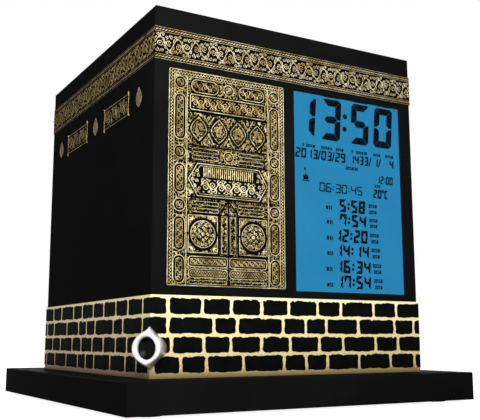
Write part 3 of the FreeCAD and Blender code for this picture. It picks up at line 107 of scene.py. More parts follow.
def linear(colour: str) -> tuple[float, float, float, float]:
    """Turn an sRGB hex colour to linear light.

    Args:
        colour: six hex digits after a hash sign.

    Returns:
        Red, green, blue and an alpha of one.
    """
    parts = [int(colour[at : at + 2], 16) / 255 for at in (1, 3, 5)]
    red, green, blue = (p / 12.92 if p <= 0.04045 else ((p + 0.055) / 1.055) ** 2.4 for p in parts)
    return red, green, blue, 1.0


def per_metre(pitch: float) -> float:
    """Scale of a pattern on metre coordinates that repeats every so many millimetres."""
    return 1.0 / (pitch * MM)


def feed(node: Node, feeds: dict | tuple) -> None:
    """Set or link some of a node's inputs.

    Args:
        node: the node.
        feeds: for an input's name or number, a hex colour, another value, the socket that feeds
            it, or a node whose first socket does. A tuple feeds the first inputs in order.
    """
    for key, value in feeds.items() if isinstance(feeds, dict) else enumerate(feeds):
        value = value.outputs[0] if isinstance(value, Node) else value
        if isinstance(value, NodeSocket):
            node.id_data.links.new(value, node.inputs[key])
        else:
            node.inputs[key].default_value = linear(value) if isinstance(value, str) else value


def add(tree: NodeTree, kind: str, feeds: dict | tuple = (), **settings: object) -> Node:
    """Add one node to a tree, with its settings and links.

    Args:
        tree: the shader or geometry tree.
        kind: the node's type.
        feeds: what feeds its inputs.
        settings: the node's own properties.

    Returns:
        The new node.
    """
    node = tree.nodes.new(kind)
    for name, value in settings.items():
        setattr(node, name, value)
    feed(node, feeds)
    return node


# ---- meshes


def skin(shell: bmesh.types.BMesh, outlines: list, closed: bool = False) -> None:
    """Skin outlines that have as many points each.

    Args:
        shell: what the skin is added to.
        outlines: the outlines in order, each a list of points in space.
        closed: whether the last outline joins the first; if not, both ends are capped.
    """
    rings = [[shell.verts.new(point) for point in outline] for outline in outlines]
    if not closed:
        shell.faces.new(rings[0][::-1])
        shell.faces.new(rings[-1])
    for lower, upper in zip(rings, rings[1:] + rings[:1] * closed):
        for at in range(len(lower)):
            after = (at + 1) % len(lower)
            shell.faces.new((lower[at], lower[after], upper[after], upper[at]))


def settled(shell: bmesh.types.BMesh) -> Mesh:
    """Turn a shell to a mesh and free it."""
    mesh = bpy.data.meshes.new("shape")
    shell.to_mesh(mesh)
    shell.free()
    return mesh


def joined(meshes: Placed) -> Mesh:
    """Put placed meshes in one, use them up, and turn every closed shell to face outwards."""
    whole = bmesh.new()
    for mesh, matrix in meshes:
        mesh.transform(matrix)
        whole.from_mesh(mesh)
        bpy.data.meshes.remove(mesh)
    bmesh.ops.recalc_face_normals(whole, faces=whole.faces)
    return settled(whole)


def section(reach: Callable[[float], float], depth: float, steps: int) -> list[Vector]:
    """A closed section about the third axis, which reaches so far out at each angle."""
    turns = [2 * math.pi * step / steps for step in range(steps)]
    return [Vector((reach(turn) * math.cos(turn), reach(turn) * math.sin(turn), depth)) for turn in turns]


def lofted(sections: list[list[Vector]], closed: bool) -> Mesh:
    """Skin sections smoothly.

    Args:
        sections: the sections in order.
        closed: whether the last section joins the first; if not, both ends are capped.

    Returns:
        A smooth closed mesh.
    """
    shell = bmesh.new()
    skin(shell, sections, closed)
    mesh = settled(shell)
    mesh.shade_smooth()
    return mesh


def put(name: str, data: bpy.types.ID, matrix: Matrix = Matrix()) -> Object:
    """Put a mesh, curve, camera or lamp in the scene and give its object."""
    thing = bpy.data.objects.new(name, data)
    thing.matrix_world = matrix
    bpy.context.scene.collection.objects.link(thing)
    return thing


@dataclass
class Assembly:
    """A sub-assembly whose pieces ride on one body."""

    bench: Bench
    body: str = "housing"

    def piece(
        self, name: str, meshes: Placed, finish: Finish, slot: str = "", replaces: tuple[str, ...] = ()
    ) -> None:
        """Make a finished piece and hang it on its body.

        Args:
            name, finish: its name and its finish.
            meshes: its meshes, each with the matrix that puts it in place, in metres.
            slot: the record's material slot that it belongs to; not used.
            replaces: the plain nodes that it stands for.
        """
        mesh = joined(meshes)
        mesh.name = name
        mesh.materials.append(finish.make())
        thing = put(name, mesh)
        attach(thing, self.body)
        if replaces:
            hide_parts(*replaces)
        LOG.info("%s: %d faces on %s", name, len(mesh.polygons), self.body)

    def dress(self, finish: Finish, *nodes: str) -> None:
        """Give carried-over nodes their finish.

        Args:
            finish: the finish.
            nodes: the nodes' names.
        """
        for name in nodes:
            mesh = frame["nodes"][name].data
            mesh.materials.clear()
            mesh.materials.append(finish.make())
            LOG.info("%s: finished as %s", name, finish.name)


# ---- finishes


class Coat:
    """A material being drawn on a piece's own coordinates, in metres."""

    def __init__(self, tree: NodeTree) -> None:
        """Start with a bare Principled shader."""
        tree.nodes.clear()
        self.tree = tree
        self.shader = add(tree, "ShaderNodeBsdfPrincipled")
        add(tree, "ShaderNodeOutputMaterial", {"Surface": self.shader.outputs["BSDF"]})
        self.coords = add(tree, "ShaderNodeTexCoord").outputs["Object"]

    def clouds(self, pitch: float, detail: float, *stretches: tuple[float, ...]) -> list:
        """Cloudy patches of a real size, with stretches of them mapped and held at the ends.

        Args:
            pitch: patch size in millimetres.
            detail: octaves of finer noise.
            stretches: for each one, its start and end, and the values that these two give.

        Returns:
            The bare patches, from 0 to 1, and then each mapped stretch.
        """
        feeds = {"Vector": self.coords, "Scale": per_metre(pitch), "Detail": detail}
        bare = add(self.tree, "ShaderNodeTexNoise", feeds)
        return [bare, *[add(self.tree, "ShaderNodeMapRange", (bare, *stretch)) for stretch in stretches]]

    def surface(
        self, colour: str, *layers: tuple, rough: Source, height: Source, relief: float,
        metallic: float = 0.0, specular: float = 0.5, edge: float = 0.0,
    ) -> None:
        """Lay colours over each other and finish the shader with a relief.

        Args:
            colour: the lowest colour.
            layers: for each one, its colour and the shares that multiply to its strength.
            rough, metallic, specular: the shader's own values.
            height, relief: a pattern from 0 to 1, and how high 1 stands in millimetres.
            edge: radius of its softly broken edges, in millimetres, or 0 for sharp ones.
        """
        for over, share, *others in layers:
            for other in others:
                share = add(self.tree, "ShaderNodeMath", (share, other), operation="MULTIPLY")
            feeds = {0: share, 6: colour, 7: over}
            colour = add(self.tree, "ShaderNodeMix", feeds, data_type="RGBA").outputs[2]
        feeds = {"Height": height, "Distance": relief * MM, "Strength": 1.0}
        if edge:
            feeds["Normal"] = add(self.tree, "ShaderNodeBevel", {"Radius": edge * MM}, samples=4)
        normal = add(self.tree, "ShaderNodeBump", feeds)
        feed(self.shader, {"Base Color": colour, "Roughness": rough, "Normal": normal})
        feed(self.shader, {"Metallic": metallic, "Specular IOR Level": specular})


@dataclass(frozen=True)
class Finish:
    """A surface finish. Each kind of finish draws its own pattern."""

    name: str

    def make(self) -> Material:
        """Give the finish as a material, which is built the first time."""
        material = bpy.data.materials.get(self.name)
        if material is None:
            material = bpy.data.materials.new(self.name)
            material.use_nodes = True
            self.draw(Coat(material.node_tree))
        return material

    def draw(self, coat: Coat) -> None:
        """Add the finish's own nodes to a bare material."""
        raise NotImplementedError


@dataclass(frozen=True)
class Moulded(Finish):
    """Injection-moulded plastic or rubber: a fine even grain from the spark-eroded tool, drawn
    coarse enough to show, and soft clouds where the flow cooled unevenly."""

    pale: str
    deep: str
    grain: float
    relief: float
    cloud: float
    smooth: float
    rough: float
    specular: float
    edge: float

    def draw(self, coat: Coat) -> None:
        """Clouded colour, grainy bump and softly broken edges."""
        gloss = (0.3, 0.7, self.smooth, self.rough)
        _, share, rough = coat.clouds(self.cloud, 4.0, (0.35, 0.65, 0, 1), gloss)
        relief = {"height": coat.clouds(self.grain, 2.0)[0], "relief": self.relief, "edge": self.edge}
        coat.surface(self.deep, (self.pale, share), rough=rough, specular=self.specular, **relief)


@dataclass(frozen=True)
class Metal(Finish):
    """Plated, foil or turned metal: bright where it is rubbed, duller in cloudy patches, with a
    fine grain that softens what it mirrors."""

    bright: str
    dull: str
    grain: float
    relief: float
    cloud: float
    smooth: float
    rough: float
    metallic: float = 1.0

    def draw(self, coat: Coat) -> None:
        """Patches of bright and dull metal with a grainy bump."""
        _, share = coat.clouds(self.cloud, 5.0, (0.38, 0.66, 0, 1))
        grains, rough = coat.clouds(self.grain, 3.0, (0.3, 0.7, self.smooth, self.rough))
        relief = {"height": grains, "relief": self.relief}
        coat.surface(self.bright, (self.dull, share), rough=rough, metallic=self.metallic, **relief)


@dataclass(frozen=True)
class SkirtFoil(Finish):
    """Brushed gold foil, pale along its top edge and browner towards the foot as a painted
    reflection, with painted shade just above the plinth and flecks of dust towards the foot.
    Heights are millimetres in the frame."""

    # crown: painted reflection, the pale colour that the foil fades to towards its top edge
    crown: str = "#FFF6BC"
    foot: str = "#D3BA80"
    dust: str = "#8D7746"
    # painted shade: a darker colour laid over the foil just above the plinth, where the skirt meets it
    painted_foot_shade: str = "#6E5C38"
    low: float = 10.8
    foot_shade_top: float = 14.0
    dusty: float = 34.74
    high: float = 37.4
    fleck: float = 0.8

    def draw(self, coat: Coat) -> None:
        """Painted reflection that fades with height, painted shade just above the plinth, and flecks of dust
        over them.
        """
        height = add(coat.tree, "ShaderNodeSeparateXYZ", {0: coat.coords}).outputs["Z"]
        # the second ramp is the share of painted shade, strongest at the plinth
        rise, foot_shade_share, fade = (
            add(coat.tree, "ShaderNodeMapRange", (height, self.low * MM, top * MM, first, last))
            for top, first, last in ((self.high, 0, 1), (self.foot_shade_top, 1, 0), (self.dusty, 0.8, 0.05))
        )
        flecks, share, rough = coat.clouds(self.fleck, 3.0, (0.5, 0.75, 0, 1), (0.3, 0.7, 0.3, 0.5))
        # crown by height is a painted reflection; the dark colour at the foot is painted shade
        layers = ((self.crown, rise), (self.painted_foot_shade, foot_shade_share), (self.dust, share, fade))
        look = {"height": flecks, "relief": 0.01, "metallic": 0.15, "specular": 0.1}
        coat.surface(self.foot, *layers, rough=rough, **look)


@dataclass(frozen=True)
class Woven(Finish):
    """Plain-woven silk ground, whose threads break the light into small squares."""

    pale: str = "#1C150C"
    deep: str = "#070504"
    thread: float = 0.45

    def draw(self, coat: Coat) -> None:
        """A checker of raised threads, with worn patches."""
        feeds = {"Vector": coat.coords, "Scale": per_metre(2 * self.thread)}
        checks = add(coat.tree, "ShaderNodeTexChecker", feeds).outputs["Fac"]
        _, worn, rough = coat.clouds(3.0, 3.0, (0.4, 0.7, 0, 0.8), (0.3, 0.7, 0.6, 0.85))
        layer = (self.pale, worn, checks)
        coat.surface(self.deep, layer, rough=rough, height=checks, relief=0.05, specular=0.008)


@dataclass(frozen=True)
class Embroidery(Finish):
    """Couched metal thread: fine twisted strands, bright on the crown and tarnished in patches."""

    bright: str = "#F4E9C2"
    middle: str = "#B9A56C"
    dark: str = "#5E4A24"
    twist: float = 0.5
    patch: float = 4.0
    metallic: float = 0.03

    def draw(self, coat: Coat) -> None:
        """Strand twist in the bump, tarnish in the colour."""
        feeds = {"Vector": coat.coords, "Scale": per_metre(3 * self.twist), "Distortion": 1.2}
        strands = add(coat.tree, "ShaderNodeTexWave", feeds, bands_direction="DIAGONAL").outputs["Fac"]
        _, clean = coat.clouds(self.patch, 4.0, (0.38, 0.6, 0, 1))
        _, tarnish, rough = coat.clouds(self.twist, 2.0, (0.48, 0.7, 0, 0.85), (0.3, 0.7, 0.32, 0.5))
        layers = ((self.bright, clean), (self.dark, tarnish))
        look = {"height": strands, "relief": 0.03, "metallic": self.metallic, "specular": 0.1}
        coat.surface(self.middle, *layers, rough=rough, **look)


@dataclass(frozen=True)
class Damask(Finish):
    """Satin stitch: dull metal thread, with dark silk showing through in a small figure."""

    gold: str
    silk: str
    figure: float
    metallic: float

    def draw(self, coat: Coat) -> None:
        """Small dark figures on dull gold."""
        feeds = {"Vector": coat.coords, "Scale": per_metre(self.figure)}
        cells = add(coat.tree, "ShaderNodeTexVoronoi", feeds, feature="DISTANCE_TO_EDGE").outputs["Distance"]
        lines = add(coat.tree, "ShaderNodeMapRange", (cells, 0.06, 0.3, 1, 0))
        _, worn, rough = coat.clouds(2.2, 3.0, (0.35, 0.6, 0.45, 1), (0.3, 0.7, 0.4, 0.6))
        layer = (self.silk, lines, worn)
        coat.surface(self.gold, layer, rough=rough, height=cells, relief=0.04, metallic=self.metallic)


@dataclass(frozen=True)
class Vermicelli(Finish):
    """Ground couched all over with one wandering gold thread, so that short bright curls alternate
    with the dark silk between them."""

    gold: str = "#D0BE88"
    dull: str = "#897A48"
    silk: str = "#060402"
    wander: float = 0.85
    rounds: float = 2.9

    def draw(self, coat: Coat) -> None:
        """Thread along the level lines of a cloudy field, and silk between them."""
        curls = coat.clouds(self.wander, 0.6)[0]
        for operation, by in (("MULTIPLY", self.rounds), ("PINGPONG", 0.5)):
            curls = add(coat.tree, "ShaderNodeMath", (curls, by), operation=operation)
        thread, gaps = (
            add(coat.tree, "ShaderNodeMapRange", (curls, 0.3, 0.4, *ends)) for ends in ((0, 1), (1, 0))
        )
        _, worn, rough = coat.clouds(3.0, 3.0, (0.35, 0.62, 0, 1), (0.3, 0.7, 0.45, 0.65))
        layers = ((self.dull, worn), (self.silk, gaps))
        coat.surface(self.gold, *layers, rough=rough, height=thread, relief=0.06, specular=0.004)


@dataclass(frozen=True)
class Clear(Finish):
    """Cast acrylic or glass: clear, with a faint haze and wiping marks in its gloss."""

    tint: str = "#FFFFFF"
    ior: float = 1.49
    haze: float = 0.03

    def draw(self, coat: Coat) -> None:
        """Haze in slow wipes across the surface."""
        _, rough = coat.clouds(14.0, 3.0, (0.3, 0.7, 0.0, self.haze))
        feed(coat.shader, {"Base Color": self.tint, "Roughness": rough})
        feed(coat.shader, {"IOR": self.ior, "Transmission Weight": 1.0})


@dataclass(frozen=True)
class Backlit(Finish):
    """Liquid crystal cell lit from behind: clouded blue, a little brighter towards the light."""

    near: str = "#2686B4"
    far: str = "#227DAE"
    unlit: str = "#05090C"
    across: float = 50.0

    def draw(self, coat: Coat) -> None:
        """Light that fades across the cell."""
        side = add(coat.tree, "ShaderNodeSeparateXYZ", {0: coat.coords}).outputs["X"]
        fade = add(coat.tree, "ShaderNodeMapRange", (side, 0.0, self.across * MM, 0.25, 0.75))
        _, clouds, rough = coat.clouds(16.0, 3.0, (0.3, 0.7, -0.3, 0.3), (0.3, 0.7, 0.3, 0.4))
        share = add(coat.tree, "ShaderNodeMath", (fade, clouds), operation="ADD", use_clamp=True)
        feeds = {0: share, 6: self.near, 7: self.far}
        glow = add(coat.tree, "ShaderNodeMix", feeds, data_type="RGBA").outputs[2]
        feed(coat.shader, {"Base Color": self.unlit, "Roughness": rough})
        feed(coat.shader, {"Emission Color": glow, "Emission Strength": 1.0})


@dataclass(frozen=True)
class CircuitBoard(Finish):
    """Glass-fibre board under green solder mask, with tracks that show as paler lines."""

    mask: str = "#0E4A2A"
    track: str = "#2E7A48"
    pitch: float = 2.0

    def draw(self, coat: Coat) -> None:
        """Square tracks under glossy mask."""
        feeds = {"Vector": coat.coords, "Rotation": (math.pi / 2, 0, 0)}
        stood = add(coat.tree, "ShaderNodeMapping", feeds)
        feeds = {"Vector": stood, "Scale": per_metre(self.pitch), "Mortar Size": 0.05}
        tracks = add(coat.tree, "ShaderNodeTexBrick", feeds).outputs["Fac"]
        _, rough = coat.clouds(6.0, 2.0, (0.3, 0.7, 0.25, 0.4))
        coat.surface(self.mask, (self.track, tracks), rough=rough, height=tracks, relief=0.03)


# In each row: name, pale and deep colour, grain, relief and cloud size in millimetres, least and
# most roughness, specular level and edge radius in millimetres.
PANEL_ABS = Moulded("textured_moulded_abs", "#1B1B1C", "#141415", 0.5, 0.03, 12.0, 0.45, 0.6, 0.1, 0.2)
HOUSING_ABS = Moulded("satin_moulded_abs", "#131313", "#0F0F0F", 0.35, 0.010, 22.0, 0.38, 0.5, 0.0005, 0.25)
INNER_ABS = Moulded("matt_moulded_abs", "#1C1C1C", "#141414", 0.5, 0.015, 15.0, 0.55, 0.7, 0.3, 0.2)
KEY_ABS = Moulded("key_moulded_abs", "#2B2B2D", "#232325", 0.25, 0.006, 8.0, 0.3, 0.42, 0.4, 0.35)
MARK_INK = Moulded("pale_pad_print", "#D2D2CE", "#B9B9B4", 0.2, 0.004, 5.0, 0.5, 0.65, 0.3, 0.05)
RUBBER = Moulded("moulded_rubber", "#141414", "#0D0D0D", 0.6, 0.02, 6.0, 0.75, 0.9, 0.25, 0.3)
WHITE_PLASTIC = Moulded("white_moulded_plastic", "#E8E8E4", "#DCDCD6", 0.4, 0.008, 12.0, 0.4, 0.55, 0.4, 0.2)
RESIN = Moulded("black_potting_resin", "#101012", "#08080A", 0.8, 0.02, 7.0, 0.2, 0.35, 0.5, 0.3)
FOAM = Moulded("closed_cell_foam", "#2E2E30", "#1A1A1C", 0.7, 0.08, 3.0, 0.8, 0.95, 0.2, 0.2)
PAPER = Moulded("pressed_paper_cone", "#2A2724", "#1C1A18", 0.5, 0.03, 4.0, 0.7, 0.9, 0.2, 0.1)
FERRITE = Moulded("sintered_ferrite", "#3A3B3D", "#2A2B2D", 0.4, 0.02, 5.0, 0.5, 0.65, 0.4, 0.3)
CELL_WRAP = Moulded("shrink_film_wrap", "#3D5A73", "#2F4860", 1.5, 0.01, 10.0, 0.2, 0.32, 0.5, 0.3)
INSULATION = Moulded("soft_pvc_insulation", "#8E1E1A", "#761511", 0.6, 0.01, 6.0, 0.4, 0.5, 0.4, 0.1)
STONE_PRINT = Moulded("matt_stone_print", "#0C0D0D", "#070808", 0.5, 0.03, 3.5, 0.55, 0.75, 0.01, 0.12)
SEGMENT_INK = Moulded("liquid_crystal_segment", "#040A12", "#02060B", 0.3, 0.0, 6.0, 0.5, 0.6, 0.0, 0.01)
ONYX = Moulded("polished_onyx", "#09090A", "#040405", 0.8, 0.004, 3.0, 0.2, 0.3, 0.06, 0.05)
# In each row: name, bright and dull colour, grain, relief and cloud size, least and most roughness,
# and how far it is metal.
SILVER_PLATE = Metal("satin_silver_plate", "#F6F5F3", "#E6E4E2", 0.4, 0.004, 6.0, 0.3, 0.42, 0.3)
STEEL = Metal("zinc_plated_steel", "#C9CACC", "#97999C", 0.3, 0.01, 2.5, 0.25, 0.42)
ZINC = Metal("satin_zinc_screw_steel", "#8F9092", "#6C6D70", 0.5, 0.006, 4.0, 0.32, 0.45)
NICKEL = Metal("nickel_plated_brass", "#D8D2C4", "#B2AA98", 0.3, 0.006, 3.0, 0.18, 0.3)
SKIRT_FOIL = SkirtFoil("brushed_gold_foil")
SILK_GROUND = Woven("black_silk_ground")
GOLD_GROUND = Vermicelli("vermicelli_couched_ground")
GOLD_THREAD = Embroidery("couched_gold_thread")
ANTIQUE_THREAD = Embroidery("antique_gold_thread", "#D9C68F", "#94814C")
# a darker copy of the gold thread for the faces other than the front: painted shade
SHADED_SIDE_THREAD = Embroidery("shaded_side_gold_thread", "#A69361", "#76653C", "#2E240D", metallic=0.02)
OLIVE_SATIN = Damask("olive_satin_stitch", "#5A522E", "#282412", 0.7, 0.03)
LENS = Clear("coated_acrylic_lens", ior=1.12, haze=0.003)
GUIDE = Clear("light_guide_acrylic", tint="#F4FAFF", haze=0.12)
CELL_GLASS = Clear("cell_glass", tint="#EAF4F4", ior=1.52)
LIT_CELL = Backlit("backlit_cell_glass")
BOARD = CircuitBoard("solder_masked_board")


# ---- geometry trees


class Tree:
    """A geometry node tree with named inputs, applied to a source object to give a plain mesh."""

    def __init__(self, name: str, **kinds: str) -> None:
        """Start a tree that takes and gives geometry.

        Args:
            name: the tree's name.
            kinds: the kind of each other input, such as Float, Int, Object or Material.
        """
        self.tree = bpy.data.node_groups.new(name, "GeometryNodeTree")
        make = self.tree.interface.new_socket
        make("Geometry", in_out="OUTPUT", socket_type="NodeSocketGeometry")
        make("Geometry", in_out="INPUT", socket_type="NodeSocketGeometry")
        self.sockets = {
            title: make(title, in_out="INPUT", socket_type=f"NodeSocket{kind}").identifier
            for title, kind in kinds.items()
        }
        self.given = add(self.tree, "NodeGroupInput").outputs

    def end(self, geometry: Source) -> None:
        """Realize, smooth and finish what the tree has made."""
        real = add(self.tree, "GeometryNodeRealizeInstances", {"Geometry": geometry})
        shaded = add(self.tree, "GeometryNodeSetShadeSmooth", {"Geometry": real})
        feeds = {"Geometry": shaded, "Material": self.given["Material"]}
        add(self.tree, "NodeGroupOutput", {0: add(self.tree, "GeometryNodeSetMaterial", feeds)})

    def set_motif(self, points: Source, facing: Source, angle: Source) -> None:
        """Set the motif at every point and finish the tree.

        Args:
            points: the points.
            facing: the way that the motif faces there.
            angle: how far it is turned about its own third axis.
        """
        spin = add(self.tree, "FunctionNodeAxisAngleToRotation", {"Axis": (0, 0, 1), "Angle": angle})
        feeds = {"Rotation": facing, "Rotate By": spin}
        turned = add(self.tree, "FunctionNodeRotateRotation", feeds, rotation_space="LOCAL")
        motif = add(self.tree, "GeometryNodeObjectInfo", {"Object": self.given["Motif"]}).outputs["Geometry"]
        feeds = {"Points": points, "Instance": motif, "Rotation": turned}
        self.end(add(self.tree, "GeometryNodeInstanceOnPoints", feeds))

    def apply(self, data: bpy.types.ID, **values: object) -> Mesh:
        """Run the tree on a mesh or curve and use that up.

        Args:
            data: the geometry that goes in.
            values: a value for each named input.

        Returns:
            The result as a plain mesh.
        """
        source = put("source", data)
        modifier = source.modifiers.new(self.tree.name, "NODES")
        modifier.node_group = self.tree
        for name, value in values.items():
            modifier[self.sockets[name]] = value
        graph = bpy.context.evaluated_depsgraph_get()
        mesh = bpy.data.meshes.new_from_object(source.evaluated_get(graph), depsgraph=graph)
        source.modifiers.remove(modifier)
        bpy.data.batch_remove((source, data))
        return mesh


class ThreadTree(Tree):
    """Lays a round thread along every line of a curve; a point's radius is the thread's width there."""

    def __init__(self) -> None:
        """Build the tree."""
        super().__init__("laid_thread", Sides="Int", Material="Material")
        feeds = {"Resolution": self.given["Sides"], "Radius": 0.5}
        profile = add(self.tree, "GeometryNodeCurvePrimitiveCircle", feeds)
        width = add(self.tree, "GeometryNodeInputRadius")
        feeds = {"Curve": self.given[0], "Profile Curve": profile, "Scale": width, "Fill Caps": True}
        self.end(add(self.tree, "GeometryNodeCurveToMesh", feeds))


class RunTree(Tree):
    """Sets a motif at even steps along a line, each one turned from the last."""

    def __init__(self) -> None:
        """Build the tree."""
        super().__init__("running_motif", Count="Int", Turn="Float", Motif="Object", Material="Material")
        feeds = {"Curve": self.given[0], "Count": self.given["Count"]}
        points = add(self.tree, "GeometryNodeCurveToPoints", feeds).outputs
        order = add(self.tree, "GeometryNodeInputIndex")
        angle = add(self.tree, "ShaderNodeMath", (order, self.given["Turn"]), operation="MULTIPLY")
        feeds = {"Vector": points["Tangent"]}
        along = add(self.tree, "FunctionNodeAlignRotationToVector", feeds, axis="X")
        self.set_motif(points[0], along, angle)


class PlaceTree(Tree):
    """Sets one fastener at every vertex of a mesh, each at a random turn about its own axis."""

    def __init__(self) -> None:
        """Build the tree."""
        kinds = {"Facing": "Rotation", "Seed": "Int", "Motif": "Object", "Material": "Material"}
        super().__init__("placed_fasteners", **kinds)
        points = add(self.tree, "GeometryNodeMeshToPoints", {"Mesh": self.given[0]})
        feeds = {2: 0.0, 3: 2 * math.pi, "Seed": self.given["Seed"]}
        angle = add(self.tree, "FunctionNodeRandomValue", feeds).outputs[1]
        self.set_motif(points, self.given["Facing"], angle)


# ---- drawing in millimetres


def polar(u: float, w: float, reach: float, angle: float) -> Point:
    """The point that lies so far from another one at an angle."""
    return u + reach * math.cos(angle), w + reach * math.sin(angle)


def disc(u: float, w: float, radius: float, steps: int = 36) -> Outline:
    """A circle as an outline."""
    return [polar(u, w, radius, 2 * math.pi * step / steps) for step in range(steps)]


def rounded(left: float, low: float, right: float, high: float, radius: float, steps: int = 5) -> Outline:
    """A rectangle with round corners.

    Args:
        left, low, right, high: its edges.
        radius: corner radius.
        steps: runs in each corner's arc.

    Returns:
        The outline, anticlockwise.
    """
    radius = min(radius, (right - left) / 2 - 0.01, (high - low) / 2 - 0.01)
    middles = [(right - radius, high - radius), (left + radius, high - radius)]
    middles += [(left + radius, low + radius), (right - radius, low + radius)]
    points = []
    for corner, (u, w) in enumerate(middles):
        for step in range(steps + 1):
            points.append(polar(u, w, radius, math.pi / 2 * (corner + step / steps)))
    return points


def almond(u: float, w: float, half_width: float, half_height: float, steps: int = 9) -> Outline:
    """A pointed oval that stands upright.

    Args:
        u, w: its middle.
        half_width, half_height: half its size.
        steps: runs in each side.

    Returns:
        The outline, anticlockwise.
    """
    right = []
    for step in range(steps + 1):
        rise = -1 + 2 * step / steps
        right.append((u + half_width * (1 - abs(rise) ** 1.7), w + half_height * rise))
    left = [(2 * u - x, y) for x, y in reversed(right[1:-1])]
    return right + left


class Threads:
    """Lines of thread drawn on a face, in millimetres, each with its own width."""

    def __init__(self) -> None:
        """Start with no lines."""
        self.lines: list[tuple[list[Point], list[float], bool]] = []

    def line(self, points: Outline, width: float | list[float], closed: bool = False) -> None:
        """Lay one thread, open or closed, of one width or with one for each point."""
        widths = width if isinstance(width, list) else [width] * len(points)
        self.lines.append((points, widths, closed))

    def spiral(
        self, u: float, w: float, radius: float, turns: float, start: float, width: float, steps: int
    ) -> None:
        """Lay a thread that winds in to a knob.

        Args:
            u, w, radius: its middle and size.
            turns: how many turns it winds; minus winds clockwise.
            start, width: angle and width of its outer end.
            steps: runs in the line.
        """
        points, widths = [], []
        for step in range(steps + 1):
            share = step / steps
            reach = radius * (1 - share) ** 0.85 + radius * 0.12 * share
            points.append(polar(u, w, reach, start + 2 * math.pi * turns * share))
            widths.append(width * (1 - 0.35 * share))
        widths[-1] = width * 1.35
        self.line(points, widths)

    def leaf(self, u: float, w: float, angle: float, length: float, width: float, bend: float = 0.3) -> None:
        """Lay a short fat stitch that tapers at both ends.

        Args:
            u, w: its foot.
            angle, bend: the way that it grows, and how far it curls.
            length, width: its size.
        """
        points = [(u, w)]
        for step in range(3):
            points.append(polar(*points[-1], length / 3, angle + bend * step))
        self.line(points, [width * 0.45, width, width * 0.85, width * 0.15])

    def curve(self, level: float) -> bpy.types.Curve:
        """The lines as a curve at a height above the face, with the widths as its radii."""
        curve = bpy.data.curves.new("threads", "CURVE")
        curve.dimensions = "3D"
        for points, widths, closed in self.lines:
            spline = curve.splines.new("POLY")
            spline.points.add(len(points) - 1)
            spline.points.foreach_set("co", [x for u, w in points for x in (u, w, level, 1.0)])
            spline.points.foreach_set("radius", widths)
            spline.use_cyclic_u = closed
        return curve


class Plates:
    """Flat raised shapes on a face, in millimetres."""

    def __init__(self) -> None:
        """Start with no shapes."""
        self.shell = bmesh.new()

    def plate(self, outline: Outline, low: float, high: float) -> None:
        """Add one closed plate, by its anticlockwise outline and the heights of both sides."""
        skin(self.shell, [[(u, w, level) for u, w in outline] for level in (low, high)])

    def mesh(self) -> Mesh:
        """Finish the shapes as a mesh in face millimetres."""
        bmesh.ops.triangulate(self.shell, faces=[f for f in self.shell.faces if len(f.verts) > 4])
        return settled(self.shell)


def upright(right: Vector, out: Vector, corner: Vector) -> Matrix:
    """The matrix to metres in the frame from millimetres on an upright plane."""
    columns = [right * MM, Vector((0, 0, MM)), out * MM]
    return Matrix([*[[c[i] for c in columns] + [corner[i]] for i in range(3)], [0, 0, 0, 1]])


@dataclass(frozen=True)
class Face:
    """One upright face of the cube, measured in millimetres from its lower left corner as seen
    from outside."""

    corner: Vector
    right: Vector
    out: Vector
    width: float

    def matrix(self) -> Matrix:
        """The matrix from face millimetres to metres in the frame."""
        return upright(self.right, self.out, self.corner)

    def measure(self, point: Vector) -> Vector:
        """A point of the frame in face millimetres: along, up and out."""
        off = (point - self.corner) / MM
        return Vector((off.dot(self.right), off.z, off.dot(self.out)))


class Side(Enum):
    """The cube's four upright faces."""

    FRONT = "front"
    RIGHT = "right"
    BACK = "back"
    LEFT = "left"


def cube_faces() -> dict[Side, Face]:
    """Read the cube's four upright faces from the frame."""
    low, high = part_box("body_shell")
    width, depth = (high.x - low.x) / MM, (high.y - low.y) / MM
    x, y = Vector((1, 0, 0)), Vector((0, 1, 0))
    return {
        Side.FRONT: Face(Vector((low.x, low.y, low.z)), x, -y, width),
        Side.RIGHT: Face(Vector((high.x, low.y, low.z)), y, x, depth),
        Side.BACK: Face(Vector((high.x, high.y, low.z)), -x, y, width),
        Side.LEFT: Face(Vector((low.x, high.y, low.z)), -y, -x, depth),
    }


